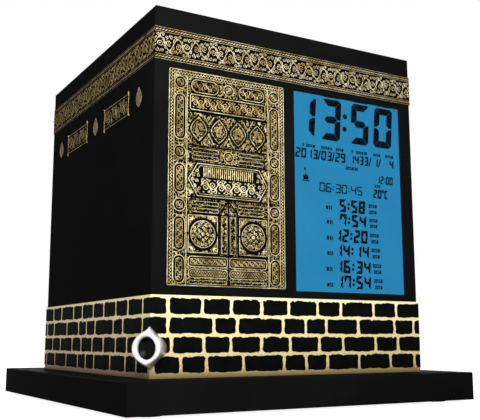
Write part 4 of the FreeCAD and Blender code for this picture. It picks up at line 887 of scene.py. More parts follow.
@dataclass
class Bench:
    """The faces and the trees that the sub-assemblies share."""

    faces: dict[Side, Face] = field(default_factory=cube_faces)
    thread: ThreadTree = field(default_factory=ThreadTree)
    run: RunTree = field(default_factory=RunTree)
    place: PlaceTree = field(default_factory=PlaceTree)

    def lay(self, lines: Threads, level: float) -> Mesh:
        """Turn lines to solid thread, about a height above the face, in face millimetres."""
        return self.thread.apply(lines.curve(level), Sides=THREAD_SIDES, Material=GOLD_THREAD.make())

    def fill(self, pane: Pane, level: float, margin: float, stroke: float) -> Mesh:
        """Run a scroll, or in a slim pane a vine, down the long middle of a pane.

        Args:
            pane: the pane.
            level: height above the face.
            margin: clear edge inside the pane.
            stroke: width of its stem.

        Returns:
            A mesh in face millimetres.
        """
        wide, tall = pane.right - pane.left - 2 * margin, pane.high - pane.low - 2 * margin
        size = min(wide, tall) / 6.4
        slim = min(wide, tall) < 1.8
        count = max(1, round(max(wide, tall) / (1.05 if slim else 3.7 * size)))
        bay = max(wide, tall) / count
        unit = scroll_unit(bay, 2.3 * size, size, stroke)
        if slim:
            unit = vine_unit(bay, min(wide, tall) * 0.42, stroke)
        middle = Vector((pane.left + pane.right, pane.low + pane.high)) / 2
        way = Vector((1, 0)) if wide > tall else Vector((0, 1))
        reach = way * (bay * (count - 1) / 2 + 1e-4)
        return self.along(tuple(middle - reach), tuple(middle + reach), level, unit, count, math.pi)

    def along(
        self, start: Point, end: Point, level: float, motif: Threads, count: int, turn: float = 0.0
    ) -> Mesh:
        """Repeat a motif between two points.

        Args:
            start, end: places of the first and the last motif.
            level: height above the face.
            motif: the motif's threads about its own middle.
            count: how many.
            turn: how far each is turned from the last.

        Returns:
            A mesh in face millimetres.
        """
        path = Threads()
        path.line([start, end], 1.0)
        shape = bpy.data.objects.new("motif", self.lay(motif, 0.0))
        inputs = {"Count": count, "Turn": turn, "Motif": shape, "Material": GOLD_THREAD.make()}
        mesh = self.run.apply(path.curve(level), **inputs)
        bpy.data.batch_remove((shape, shape.data))
        return mesh


# ---- studio


@dataclass
class Studio:
    """Camera, floor, backdrop light and lamps. Lengths are metres and angles are radians."""

    camera_place: tuple[float, ...] = (-0.1572, -0.2931, 0.0228)
    yaw: float = 0.5181
    pitch: float = 0.1634
    roll: float = -0.0022
    lens: float = 59.3
    floor_half: float = 4.0
    ambient: float = 0.2
    middle: tuple[float, ...] = (0, 0, 0.06)
    softboxes: tuple[tuple, ...] = (
        ("key_softbox", (-0.1, -0.23, 0.15), 0.71, 0.12),
        ("side_softbox", (0.55, 0.5, 0.5), 2.0, 0.25),
        ("rear_softbox", (0.06, 0.46, 0.24), 1.0, 0.25),
    )

    def build(self) -> None:
        """Set the whole studio up."""
        bpy.context.scene.view_settings.view_transform = "Standard"
        self.camera()
        self.floor()
        self.world()
        self.lamps()

    def camera(self) -> None:
        """Place the camera."""
        data = bpy.data.cameras.new("camera")
        data.lens = self.lens
        data.clip_start = 0.01
        place = Matrix.Translation(self.camera_place)
        for angle, axis in ((-self.yaw, "Z"), (math.pi / 2 + self.pitch, "X"), (self.roll, "Z")):
            place @= Matrix.Rotation(angle, 4, axis)
        bpy.context.scene.camera = put("camera", data, place)

    @staticmethod
    def backdrop_share(tree: NodeTree) -> NodeSocket:
        """How far a ray sees the white backdrop itself: camera, glossy and transmission rays do."""
        path = add(tree, "ShaderNodeLightPath").outputs
        share = path["Is Camera Ray"]
        for ray in ("Is Glossy Ray", "Is Transmission Ray"):
            share = add(tree, "ShaderNodeMath", (share, path[ray]), operation="MAXIMUM")
        return share

    def floor(self) -> None:
        """A white floor that keeps the shadow under the plinth."""
        material = bpy.data.materials.new("pale_floor")
        material.use_nodes = True
        tree = material.node_tree
        tree.nodes.clear()
        coords = add(tree, "ShaderNodeTexCoord").outputs["Object"]
        clouds = add(tree, "ShaderNodeTexNoise", {"Vector": coords, "Scale": per_metre(40.0)})
        feeds = {0: clouds, 6: "#B6B6B6", 7: "#BCBCBC"}
        tone = add(tree, "ShaderNodeMix", feeds, data_type="RGBA").outputs[2]
        matt = add(tree, "ShaderNodeBsdfDiffuse", {"Color": tone})
        glow = add(tree, "ShaderNodeEmission", {"Color": "#FFFFFF", "Strength": 0.9})
        lit = add(tree, "ShaderNodeAddShader", (matt, glow))
        surface = add(tree, "ShaderNodeMixShader", (self.backdrop_share(tree), matt, lit))
        add(tree, "ShaderNodeOutputMaterial", {"Surface": surface})
        half = self.floor_half
        mesh = bpy.data.meshes.new("floor")
        corners = [(-half, -half, 0), (half, -half, 0), (half, half, 0), (-half, half, 0)]
        mesh.from_pydata(corners, [], [(0, 1, 2, 3)])
        mesh.materials.append(material)
        put("floor", mesh)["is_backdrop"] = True

    def world(self) -> None:
        """A white backdrop that lights the object softly from all round."""
        world = bpy.data.worlds.new("backdrop")
        world.use_nodes = True
        bpy.context.scene.world = world
        tree = world.node_tree
        tree.nodes.clear()
        soft, seen = (
            add(tree, "ShaderNodeBackground", {"Color": "#FFFFFF", "Strength": strength})
            for strength in (self.ambient, 1.0)
        )
        surface = add(tree, "ShaderNodeMixShader", (self.backdrop_share(tree), soft, seen))
        add(tree, "ShaderNodeOutputWorld", {"Surface": surface})

    def lamps(self) -> None:
        """Hang the square soft lamps, each with its watts and its side, facing the clock's middle."""
        for name, spot, power, size in self.softboxes:
            data = bpy.data.lights.new(name, "AREA")
            data.energy = power
            data.size = size
            turn = (Vector(self.middle) - Vector(spot)).to_track_quat("-Z", "Y").to_matrix().to_4x4()
            put(name, data, Matrix.Translation(spot) @ turn)


# ---- housing


@dataclass
class Housing(Assembly):
    """Cube shell, plinth, base plate and what is inside them, whose nodes keep their shape."""

    def build(self) -> None:
        """Finish the carried-over nodes."""
        keys = [f"{name}_key" for name in ("mode", "set", "up", "down", "light")]
        screws = [f"{place}_screws" for place in ("key_board", "display_board", "speaker")]
        carried = (
            (HOUSING_ABS, "body_shell", "plinth_shell"),
            (PANEL_ABS, "rear_panel"),
            (INNER_ABS, "base_plate", "battery_tray", "battery_door"),
            (INNER_ABS, "slide_switch_housing", "power_inlet", "key_switches"),
            (RUBBER, "rubber_feet", "contact_strips"),
            (STEEL, *screws, "speaker_frame", "timing_crystal"),
            (NICKEL, "battery_contacts", "battery_springs"),
            (WHITE_PLASTIC, "lcd_holder", "backlight_reflector", "backlight_led_strip", "board_ribbon"),
            (WHITE_PLASTIC, *[f"{key}_stem" for key in keys]),
            (KEY_ABS, *keys, "slide_switch_cap"),
            (GUIDE, "backlight_guide"),
            (CELL_GLASS, "lcd_rear_glass"),
            (BOARD, "display_board", "key_board"),
            (RESIN, "controller_chip"),
            (FOAM, "speaker_gasket"),
            (PAPER, "speaker_cone"),
            (FERRITE, "speaker_magnet"),
            (CELL_WRAP, "battery_cell_1", "battery_cell_2", "battery_cell_3"),
            (INSULATION, "battery_leads", "speaker_leads"),
        )
        for finish, *nodes in carried:
            self.dress(finish, *nodes)


# ---- ornament shared by the faces


@dataclass(frozen=True)
class Pane:
    """A round-cornered field of the ornament, in face millimetres, that can be drawn smaller."""

    left: float
    low: float
    right: float
    high: float
    corner: float = 0.3

    def inset(self, by: float) -> Outline:
        """The pane's outline, moved inwards."""
        corner = max(self.corner - by, 0.08)
        return rounded(self.left + by, self.low + by, self.right - by, self.high - by, corner)

    def mirrored(self, width: float) -> Pane:
        """The same pane on the other side of a panel."""
        return replace(self, left=width - self.right, right=width - self.left)


@dataclass(frozen=True)
class PointedPane(Pane):
    """A pane whose ends are drawn out sideways over the length of its corner."""

    def inset(self, by: float) -> Outline:
        """The outline, moved inwards."""
        left, right = self.left + 1.4 * by, self.right - 1.4 * by
        low, high, tip = self.low + by, self.high - by, self.corner
        lower = [(left, (low + high) / 2), (left + tip, low), (right - tip, low)]
        return lower + [(right, (low + high) / 2), (right - tip, high), (left + tip, high)]


def roundel(u: float, w: float, radius: float) -> Pane:
    """A round pane."""
    return Pane(u - radius, w - radius, u + radius, w + radius, radius)


def scroll_unit(bay: float, reach: float, size: float = 1.0, stroke: float = 0.46) -> Threads:
    """One bay of a running scroll: half a wave of stem, a spiral inside it and leaves in the gaps.

    Args:
        bay, reach: its length, and the height of its wave.
        size: scale of the spiral and the leaves.
        stroke: width of the stem.

    Returns:
        The threads about the bay's middle. Every second bay is turned half round.
    """
    unit = Threads()
    stem = [(-bay / 2 + bay * i / 8, reach * math.cos(math.pi * (i / 8 - 0.5))) for i in range(9)]
    unit.line(stem, stroke)
    turns, steps = -0.5 - 1.25 * min(size, 1.0), 12 if size < 0.6 else 20
    unit.spiral(0.1 * size, -0.35 * size, 1.62 * size, turns, 2.6, stroke, steps)
    leaves = (
        (-bay / 2 / size + 0.35, 1.3, 1.9, 1.7, 1.25, -0.5),
        (-bay / 2 / size + 0.2, 2.85, -0.1, 1.2, 1.0, -0.1),
        (0.25, 2.75, 0.2, 1.3, 1.0, -0.2),
        (bay / 2 / size - 0.3, 1.6, 1.0, 1.2, 1.15, 0.5),
        (-1.2, -2.4, -0.4, 1.1, 1.0, 0.3),
        (1.1, -2.3, -0.5, 1.0, 1.0, 0.4),
        (-1.5, 1.0, 0.5, 1.0, 0.9, 0.8),
        (0.9, 1.5, -1.2, 0.9, 0.9, -0.8),
    )
    for u, w, angle, length, width, bend in leaves[:: 2 if size < 0.6 else 1]:
        unit.leaf(u * size, w * size, angle, length * size, width * stroke, bend)
    return unit


def arabesque_unit(bay: float, half: float, stroke: float, kind: int) -> Threads:
    """One dense bay of a wide band: a tall wave of stem, spirals of several sizes and slim leaves
    in the gaps.

    Args:
        bay, half: its length, and half the height of the field.
        stroke: width of the stem.
        kind: which of the slightly different bays; odd ones are made turned half round.

    Returns:
        The threads about the bay's middle.
    """
    unit = Threads()
    chance = random.Random(kind + 5)
    steps = [i / 10 - 0.5 for i in range(11)]
    unit.line([(bay * step, 0.62 * half * math.cos(math.pi * step)) for step in steps], stroke)
    spirals = (
        (0.02, -0.12, 0.33, -1.5, 2.6),
        (-0.3, 0.72, 0.2, 1.2, -0.9),
        (0.27, 0.8, 0.17, -1.15, 3.6),
        (-0.33, -0.66, 0.21, -1.1, 1.2),
        (0.32, -0.6, 0.19, 1.15, 1.9),
        (0.47, 0.1, 0.13, 1.0, 0.4),
        (-0.04, 0.6, 0.12, 0.95, 2.2),
    )
    for u, w, radius, turns, start in spirals:
        u, w = (u + chance.uniform(-0.05, 0.05)) * bay, (w + chance.uniform(-0.07, 0.07)) * half
        reach = radius * bay * chance.uniform(0.85, 1.12)
        unit.spiral(u, w, reach, turns, start + chance.uniform(-0.9, 0.9), stroke * 0.92, 12)
    leaves = (
        (-0.47, 0.35, 1.75, 0.3, -0.35),
        (0.44, 0.3, 1.3, 0.28, 0.4),
        (0.0, 0.68, 1.6, 0.26, 0.1),
        (0.0, -0.62, -1.5, 0.3, -0.2),
        (-0.46, -0.2, -2.0, 0.22, 0.5),
        (0.45, -0.22, -1.1, 0.2, -0.5),
    )
    for u, w, angle, length, bend in leaves:
        angle += chance.uniform(-0.4, 0.4)
        length *= half * chance.uniform(0.8, 1.15)
        unit.leaf(u * bay, w * half, angle, length, stroke * 1.1, bend)
    if kind % 2:
        unit.lines = [([(-u, -w) for u, w in points], *rest) for points, *rest in unit.lines]
    return unit


def vine_unit(bay: float, reach: float, stroke: float) -> Threads:
    """One bay of a thin wavy stem with a leaf in its hollow. Every second bay is turned half round."""
    unit = Threads()
    steps = [i / 5 - 0.5 for i in range(6)]
    unit.line([(bay * step, reach * math.cos(math.pi * step)) for step in steps], stroke)
    unit.leaf(-0.12 * bay, -0.15 * reach, -1.25, 1.1 * reach, 1.5 * stroke, 0.35)
    return unit


# ---- gold band


@dataclass
class GoldBand(Assembly):
    """Embroidered band round the top of the cube, with a scroll between two rope edges.
    Millimetres; heights are from the band's lower edge."""

    ground: float = 0.12
    outer_line: float = 0.12
    rope_middle: float = 0.95
    rope_width: float = 0.4
    bead_pitch: float = 1.15
    inner_line: float = 1.7
    line_width: float = 0.15
    scroll_pitch: float = 3.45
    scroll_half: float = 3.75
    kinds: int = 3
    stem: float = 0.28

    def build(self) -> None:
        """Make the band on all four faces."""
        low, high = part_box("gold_band")
        ground = [(self.sleeve(low.z, high.z), Matrix())]
        self.piece("band_ground", ground, SILK_GROUND, replaces=("gold_band",))
        for side, face in self.bench.faces.items():
            span = face.width, face.measure(low).y, face.measure(high).y
            placed = [(mesh, face.matrix()) for mesh in self.rows(*span)]
            # the faces other than the front get the darker thread as painted shade
            thread = GOLD_THREAD if side is Side.FRONT else SHADED_SIDE_THREAD
            self.piece(f"band_embroidery_{side.value}", placed, thread, "gold_thread")

    def sleeve(self, low: float, high: float) -> Mesh:
        """The thin silk sleeve round the cube, in metres, between two heights."""
        faces = list(self.bench.faces.values())
        corners = [(face.corner, face.out + faces[number - 1].out) for number, face in enumerate(faces)]
        outlines = []
        for reach, level in ((0.0, low), (self.ground, low), (self.ground, high), (0.0, high)):
            ring = [corner + out * reach * MM for corner, out in corners]
            outlines.append([(point.x, point.y, level) for point in ring])
        shell = bmesh.new()
        skin(shell, outlines, closed=True)
        return settled(shell)

    def rows(self, width: float, foot: float, head: float) -> list[Mesh]:
        """The straight threads and the twisted ropes along both edges, and the scroll between them.

        Args:
            width: the face's width.
            foot, head: the band's lower and upper edge.

        Returns:
            Meshes in face millimetres.
        """
        threads = Threads()
        for inset in (self.outer_line, self.inner_line):
            for level in (foot + inset, head - inset):
                threads.line([(-self.ground, level), (width + self.ground, level)], self.line_width)
        bead = Threads()
        half = self.bead_pitch / 2
        slant = [(-half, -0.2), (-half / 3, -0.12), (half / 3, 0.12), (half, 0.2)]
        bead.line(slant, [0.2, self.rope_width, self.rope_width, 0.2])
        beads = round(width / self.bead_pitch)
        edge = width / beads / 2
        meshes = [self.bench.lay(threads, self.ground)]
        for level in (foot + self.rope_middle, head - self.rope_middle):
            meshes.append(self.bench.along((edge, level), (width - edge, level), self.ground, bead, beads))
        rounds = round(width / self.scroll_pitch / self.kinds)
        bay = width / rounds / self.kinds
        middle = (foot + head) / 2
        for kind in range(self.kinds):
            unit = arabesque_unit(bay, self.scroll_half, self.stem, kind)
            first = bay * (kind + 0.5)
            ends = (first, middle), (first + bay * self.kinds * (rounds - 1), middle)
            meshes.append(self.bench.along(*ends, self.ground, unit, rounds, math.pi))
        return meshes


# ---- door curtain


@dataclass
class DoorCurtain(Assembly):
    """Embroidered door curtain: olive-gold ground, dark sunk panes filled with scrolls, and a
    zigzag border. Millimetres from the curtain's lower left corner."""

    ground: float = 0.26
    sunk: float = 0.04
    outline: float = 0.3
    small_outline: float = 0.24
    inner_outline: float = 0.16
    ring: float = 0.52
    small_ring: float = 0.1
    inner_share: float = 0.22
    cord: float = 0.42
    slim: float = 2.75
    small: float = 4.5
    border: float = 1.9
    border_middle: float = 1.1
    border_pitch: float = 1.1
    column: float = 4.25
    width: float = field(init=False)
    height: float = field(init=False)
    silk: Plates = field(default_factory=Plates)
    threads: Threads = field(default_factory=Threads)
    cords: Threads = field(default_factory=Threads)
    dull: Threads = field(default_factory=Threads)

    def build(self) -> None:
        """Make the curtain on the front face."""
        face = self.bench.faces[Side.FRONT]
        low, high = (face.measure(corner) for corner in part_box("door_curtain_panel"))
        place = face.matrix() @ Matrix.Translation((low.x, low.y, 0))
        self.width, self.height = high.x - low.x, high.y - low.y
        cloth = Plates()
        cloth.plate(rounded(0, 0, self.width, self.height, 0.3), 0.0, self.ground)
        fills = [self.fill(pane) for pane in self.panes()]
        for start, end in self.seams():
            self.bed(self.strip(start, end, 0.54))
        self.edge_lines()
        for centre in (13.1, self.width - 13.1):
            self.rosette(centre, 17.5)
        self.medallions()
        self.headpiece()
        level = self.ground + self.sunk
        threads = [self.bench.lay(self.threads, level), *self.borders()]
        threads.append(self.bench.fill(Pane(12.3, 31.4, self.width - 12.3, 36.8), level, 0.05, 0.4))
        fills.append(self.bench.lay(self.dull, level))
        for name, meshes, *rest in (
            ("curtain_ground", [cloth.mesh()], GOLD_GROUND, "", ("door_curtain_panel",)),
            ("curtain_cords", [self.bench.lay(self.cords, self.ground)], SILK_GROUND),
            ("curtain_panes", [self.silk.mesh()], SILK_GROUND),
            ("curtain_embroidery", threads, GOLD_THREAD, "gold_thread"),
            ("curtain_fillings", fills, ANTIQUE_THREAD, "gold_thread"),
        ):
            self.piece(name, [(mesh, place) for mesh in meshes if mesh is not None], *rest)

    def fill(self, pane: Pane) -> Mesh | None:
        """Outline one pane and fill it.

        Args:
            pane: the pane.

        Returns:
            The scroll that fills it, or None for a slim one, which has a rippled cord.
        """
        narrow = min(pane.right - pane.left, pane.high - pane.low)
        if narrow < self.slim:
            self.cords.line(pane.inset(0.0), self.cord, True)
            self.threads.line(pane.inset(0.26), self.inner_outline, True)
            self.cords.line(self.ripple(pane), self.cord)
            return None
        level, stem = self.ground + self.sunk, 0.24 if narrow < 5 else 0.34
        if narrow < self.small:
            margin = narrow * self.inner_share
            self.bed(pane.inset(-self.small_ring))
            self.threads.line(pane.inset(0.0), self.small_outline, True)
            self.dull.line(pane.inset(margin), self.inner_outline, True)
            return self.bench.fill(pane, level, margin, stem)
        self.bed(pane.inset(-self.ring))
        self.threads.line(pane.inset(0.12), self.outline, True)
        return self.bench.fill(pane, level, 0.65, stem)

    def bed(self, outline: Outline) -> None:
        """Lay a thin piece of black silk on the ground."""
        self.silk.plate(outline, self.ground - 0.1, self.ground + self.sunk)

    @staticmethod
    def ripple(pane: Pane) -> list[Point]:
        """A rippled line along the middle of a slim pane."""
        wide, tall = pane.right - pane.left, pane.high - pane.low
        u, w = (pane.left + pane.right) / 2, (pane.low + pane.high) / 2
        reach = max(wide, tall) / 2 - 0.7
        steps = [(-reach + reach * i / 7, 0.2 * (-1) ** i) for i in range(15)]
        return [(u + a, w + b) if wide > tall else (u + b, w + a) for a, b in steps]

    @staticmethod
    def strip(start: Point, end: Point, width: float) -> Outline:
        """A straight line as a narrow outline."""
        along = (Vector(end) - Vector(start)).normalized()
        side = Vector((along.y, -along.x)) * width / 2
        corners = (Vector(start) + side, Vector(end) + side, Vector(end) - side, Vector(start) - side)
        return [(corner.x, corner.y) for corner in corners]

    def panes(self) -> list[Pane]:
        """Set out the panes of both halves, and those in the middle."""
        left = [roundel(self.column, w, r) for w, r in ((69.3, 2.1), (45.0, 2.15), (26.9, 2.15))]
        for near, far, corner, *levels in (
            (2.15, 6.35, 2.1, (49.3, 65.2), (31.1, 41.0), (11.7, 23.1), (0.9, 10.1)),
            (8.4, 18.9, 2.2, (66.5, 71.2)),
            (8.6, 19.3, 0.85, (45.3, 47.2), (42.75, 44.65), (27.05, 28.9), (24.65, 26.5)),
            (19.9, 22.6, 0.2, (11.0, 24.3)),
            (7.8, 22.5, 1.0, (6.5, 9.9)),
            (7.8, 22.5, 1.3, (2.9, 5.7)),
            (7.8, 22.5, 0.3, (0.5, 2.2)),
        ):
            left += [Pane(near, low, far, high, corner) for low, high in levels]
        middle = [roundel(self.width / 2, w, 1.9) for w in (69.0, 44.95)]
        middle.append(Pane(7.9, 60.2, self.width - 7.9, 65.8, 0.8))
        return left + [pane.mirrored(self.width) for pane in left] + middle

    def seams(self) -> list[tuple[Point, Point]]:
        """Set out both ends of each straight dark line between the panes."""
        width, middle = self.width, self.width / 2
        lines = [((7.4, w), (width - 7.4, w)) for w in (59.5, 47.8, 42.1, 29.9, 24.1, 10.35)]
        lines.append(((middle, 0.4), (middle, 29.6)))
        lines += [((middle, 29.7), (u, 24.4)) for u in (19.0, width - 19.0)]
        return lines + [((u, 10.6), (u, 24.4)) for u in (19.3, width - 19.3)]

    def border_runs(self, foot: float, head: float) -> list[tuple[Point, Point]]:
        """The middle lines of the border: both sides, between two heights, and the top."""
        near, far = self.border_middle, self.width - self.border_middle
        top = self.height - near
        sides = [((u, foot), (u, head)) for u in (near, far)]
        return [*sides, ((2 * near, top), (far - near, top))]

    def edge_lines(self) -> None:
        """The straight outlines of the border and the side columns, and the border's beds."""
        inset, inner = 0.14, self.border + 0.1
        right, top = self.width - inner, self.height - inner
        self.threads.line(rounded(inset, inset, self.width - inset, self.height - inset, 0.3), 0.26, True)
        self.threads.line([(inner, 0.2), (inner, top), (right, top), (right, 0.2)], 0.24)
        for u in (6.85, self.width - 6.85):
            self.threads.line([(u, 0.4), (u, 71.4)], 0.26)
        for start, end in self.border_runs(0.4, self.height):
            self.bed(self.strip(start, end, 1.2))

    def borders(self) -> list[Mesh]:
        """The zigzag down both sides and along the top, in the curtain's millimetres."""
        chevron = Threads()
        reach = self.border_pitch / 2
        chevron.line([(-reach, -0.4), (0, 0.4), (reach, -0.4)], 0.3)
        meshes = []
        for start, end in self.border_runs(self.border_middle, self.height - self.border_middle):
            count = round(math.dist(start, end) / self.border_pitch) + 1
            meshes.append(self.bench.along(start, end, self.ground + self.sunk, chevron, count))
        return meshes

    def rosette(self, u: float, w: float) -> None:
        """A large roundel in its square, with leaves in the corners.

        Args:
            u, w: its middle.
        """
        for radius, stroke in ((5.2, 1.0), (2.6, 0.28), (0.95, 0.32)):
            self.cords.line(disc(u, w, radius, 36), stroke, True)
        self.cords.line(rounded(u - 5.95, w - 6.75, u + 5.95, w + 6.75, 0.2), 0.45, True)
        self.threads.line(rounded(u - 5.5, w - 6.3, u + 5.5, w + 6.3, 0.2), 0.26, True)
        for radius, stroke in ((4.6, 0.18), (0.35, 0.6)):
            self.threads.line(disc(u, w, radius, 28), stroke, True)
        for row, petals in ((3.55, 15), (1.8, 8)):
            for petal in range(petals):
                angle = 2 * math.pi * petal / petals
                middle = polar(u, w, row + 0.22 * (-1) ** petal, angle)
                self.threads.spiral(*middle, 0.62, 0.95 * (-1) ** petal, angle * 2 + row, 0.26, 9)
                middle = polar(u, w, row, angle + math.pi / petals)
                self.cords.spiral(*middle, 0.42, 0.8, angle, 0.26, 6)
        for side in (-1, 1):
            for rise in (-1, 1):
                for lean in (-0.75, 0.0, 0.75):
                    heading = math.atan2(rise, side) + lean
                    self.threads.leaf(u + side * 3.9, w + rise * 4.6, heading, 1.5, 0.5, 0.15)

    def medallions(self) -> None:
        """The row of four pointed medallions, with hanging points between them."""
        middle = 53.65
        centres = (11.3, 19.15, 26.75, 34.6)
        for u in centres:
            self.cords.line(almond(u, middle, 3.55, 4.85), 0.7, True)
            self.threads.line(almond(u, middle, 3.05, 4.1), 0.14, True)
            self.cords.line(almond(u, middle, 2.55, 3.35), 0.36, True)
            for rise in (-1, 0, 1):
                w = middle + rise * 1.35
                spread = 0.62 if rise else 0.95
                for side in (-1, 1):
                    self.dull.spiral(u + side * spread, w, 0.62, side * 1.1, 1.57 - rise, 0.28, 9)
                self.cords.line([(u, w - 0.5), (u, w + 0.5)], 0.3)
        for u in [(a + b) / 2 for a, b in zip(centres, centres[1:])]:
            for rise in (-1, 1):
                self.threads.spiral(u, middle + rise * 4.2, 0.6, rise * 1.1, rise, 0.28, 9)
                far, near = middle + rise * 4.9, middle + rise * 1.9
                self.threads.line([(u - 1.9, far), (u, near), (u + 1.9, far)], 0.24)
                far, near = middle + rise * 4.7, middle + rise * 2.8
                self.cords.line([(u - 1.2, far), (u, near), (u + 1.2, far)], 0.28)

    def headpiece(self) -> None:
        """The large six-sided pane, outlined twice, with slim reeds across its upper half."""
        pane = PointedPane(7.4, 30.4, 38.7, 41.7, 3.4)
        self.bed(pane.inset(-0.4))
        self.threads.line(pane.inset(0.1), 0.34, True)
        self.threads.line(pane.inset(0.8), 0.2, True)
        pitch = 0.8
        for u in [13.35 + reed * pitch for reed in range(25)]:
            self.threads.line([(u, 37.1), (u, 40.5)], [0.24, 0.34])
        for reed in range(0, 24, 2):
            u, w = 13.75 + reed * pitch, 37.9 + reed % 4 * 0.75
            self.threads.spiral(u, w, 0.42, 0.9, 1.0 + reed, 0.26, 7)
        curls = ((12.1, 39.3), (13.4, 37.6), (11.6, 37.6), (14.0, 35.9), (12.4, 35.6), (13.1, 34.0))
        for side in (-1, 1):
            for u, w in (*curls, (11.4, 33.2), (12.2, 32.2)):
                self.threads.spiral(22.95 + side * u, w, 0.7, -side * 1.1, 1.57 + w, 0.32, 8)
            for rise in (-1, 1):
                for lean in (-0.5, 0.15, 0.8):
                    heading = math.atan2(-rise, -side) + lean
                    self.threads.leaf(23.05 + side * 15.0, 36.05 + rise * 5.0, heading, 1.7, 0.4)


# ---- stone skirt


@dataclass
class StoneSkirt(Assembly):
    """Gold foil skirt with four courses of black stones round the cube. Millimetres; heights are
    from the cube's foot, joints from the front left and back right corners, on a face as wide as
    the front."""

    row_low: float = 1.7
    row_pitch: float = 6.27
    stone_height: float = 5.2
    joint: float = 1.15
    foil: float = 0.3
    rise: float = 0.1
    seed: int = 5
    courses: Rows = (
        (0.9, 10.6, 19.9, 33.9, 50.2, 59.5, 68.6, 82.8, 97.7, 109.5),
        (7.1, 18.8, 29.0, 41.0, 52.7, 65.1, 75.7, 90.8, 101.5),
        (5.9, 22.6, 31.5, 49.8, 59.4, 68.4, 82.8, 100.0, 109.5),
        (5.8, 18.3, 29.3, 41.2, 52.2, 64.6, 75.0, 90.2, 101.2),
    )

    def __post_init__(self) -> None:
        """List the faces, and how far along the way round the cube each one's last corner is."""
        self.faces = list(self.bench.faces.values())
        self.corners = [sum(face.width for face in self.faces[:count]) for count in range(1, 5)]

    def build(self) -> None:
        """Lay every course round the cube."""
        chance = random.Random(self.seed)
        shell = bmesh.new()
        for row, joints in enumerate(self.courses):
            low = self.row_low + row * self.row_pitch
            for left, right in self.stones(joints):
                self.stone(shell, self.weathered(left, low, right, low + self.stone_height, chance))
        for corner in self.corners:
            parts = [*shell.verts, *shell.edges, *shell.faces]
            bmesh.ops.bisect_plane(shell, geom=parts, plane_co=(corner, 0, 0), plane_no=(1, 0, 0), dist=1e-5)
        bmesh.ops.triangulate(shell, faces=[f for f in shell.faces if len(f.verts) > 4])
        for vert in shell.verts:
            vert.co = self.wrapped(vert.co)
        stones = [(settled(shell), Matrix())]
        self.piece("printed_stones", stones, STONE_PRINT, "stone_print", ("skirt_stones",))
        self.dress(SKIRT_FOIL, "stone_skirt_foil")

    def stones(self, joints: tuple[float, ...]) -> list[Point]:
        """Where each stone of a course starts and ends along the way round the cube.

        Args:
            joints: the course's joints.

        Returns:
            Start and end of each stone; the last one crosses the corner where the way begins.
        """
        marks = []
        for number, (face, corner) in enumerate(zip(self.faces, self.corners)):
            for joint in joints:
                at = joint * face.width / self.faces[0].width
                marks.append(corner - at if number % 2 else corner - face.width + at)
        marks.sort()
        marks.append(marks[0] + self.corners[-1])
        gap = self.joint / 2
        return [(a + gap, b - gap) for a, b in zip(marks, marks[1:]) if b - a > 2 * self.joint]

    @staticmethod
    def weathered(left: float, low: float, right: float, high: float, chance: random.Random) -> Outline:
        """A stone's outline: round corners, a slow wobble, and nicks in its top edge.

        Args:
            left, low, right, high: its edges; left and right lie along the way round.
            chance: the course's random numbers.

        Returns:
            The outline, anticlockwise.
        """
        square = rounded(left, low, right, high, chance.uniform(0.7, 1.2), 4)
        waves = [(times, chance.uniform(0, 6), size) for times, size in ((3, 0.11), (8, 0.08), (17, 0.05))]
        count = chance.randint(1, 4)
        nicks = [(chance.uniform(left, right), chance.uniform(0.1, 0.5)) for _ in range(count)]
        outline = []
        total = sum(math.dist(a, b) for a, b in zip(square, square[1:] + square[:1]))
        gone = 0.0
        for (u, w), (next_u, next_w) in zip(square, square[1:] + square[:1]):
            run = math.dist((u, w), (next_u, next_w))
            steps = max(1, round(run / 0.5))
            for step in range(steps):
                share = step / steps
                at_u, at_w = u + (next_u - u) * share, w + (next_w - w) * share
                turn = 2 * math.pi * (gone + run * share) / total
                push = sum(size * math.sin(times * turn + phase) for times, phase, size in waves)
                side = Vector((next_w - w, u - next_u)).normalized()
                if at_w > high - 0.6:
                    for nick, depth in nicks:
                        push -= depth * math.exp(-(((at_u - nick) / 0.4) ** 2))
                outline.append((at_u + push * side.x, at_w + push * side.y))
            gone += run
        return outline

    def stone(self, shell: bmesh.types.BMesh, outline: Outline) -> None:
        """Add one flat stone with a soft edge to the unrolled skirt.

        Args:
            shell: the unrolled skirt, whose third axis stands off the cube.
            outline: the stone's outline.
        """
        after = outline[1:] + outline[:1]
        steps = [(b[1] - a[1], a[0] - b[0]) for a, b in zip(outline[-1:] + outline[:-1], after)]
        sides = [Vector(step).normalized() for step in steps]
        top = self.foil + self.rise
        levels = ((0.0, self.foil - 0.1), (0.0, self.foil + 0.7 * self.rise), (0.12, top))
        skin(shell, [
            [(u - side.x * inset, w - side.y * inset, level) for (u, w), side in zip(outline, sides)]
            for inset, level in levels
        ])

    def wrapped(self, point: Vector) -> Vector:
        """Where a point of the unrolled skirt lies on the cube, in metres.

        Args:
            point: distance round, height and stand-off, in millimetres.

        Returns:
            The point in the frame; at a corner it stands off both faces.
        """
        way = point.x % self.corners[-1]
        for number, (face, corner) in enumerate(zip(self.faces, self.corners)):
            if way > corner + 1e-4:
                continue
            place = face.matrix() @ Vector((way - corner + face.width, point.y, point.z))
            if abs(way - corner) < 1e-3:
                place += self.faces[(number + 1) % 4].out * point.z * MM
            elif abs(way - corner + face.width) < 1e-3:
                place += self.faces[number - 1].out * point.z * MM
            return place
        raise ValueError("a stone lies past the last corner")


# ---- side ornaments


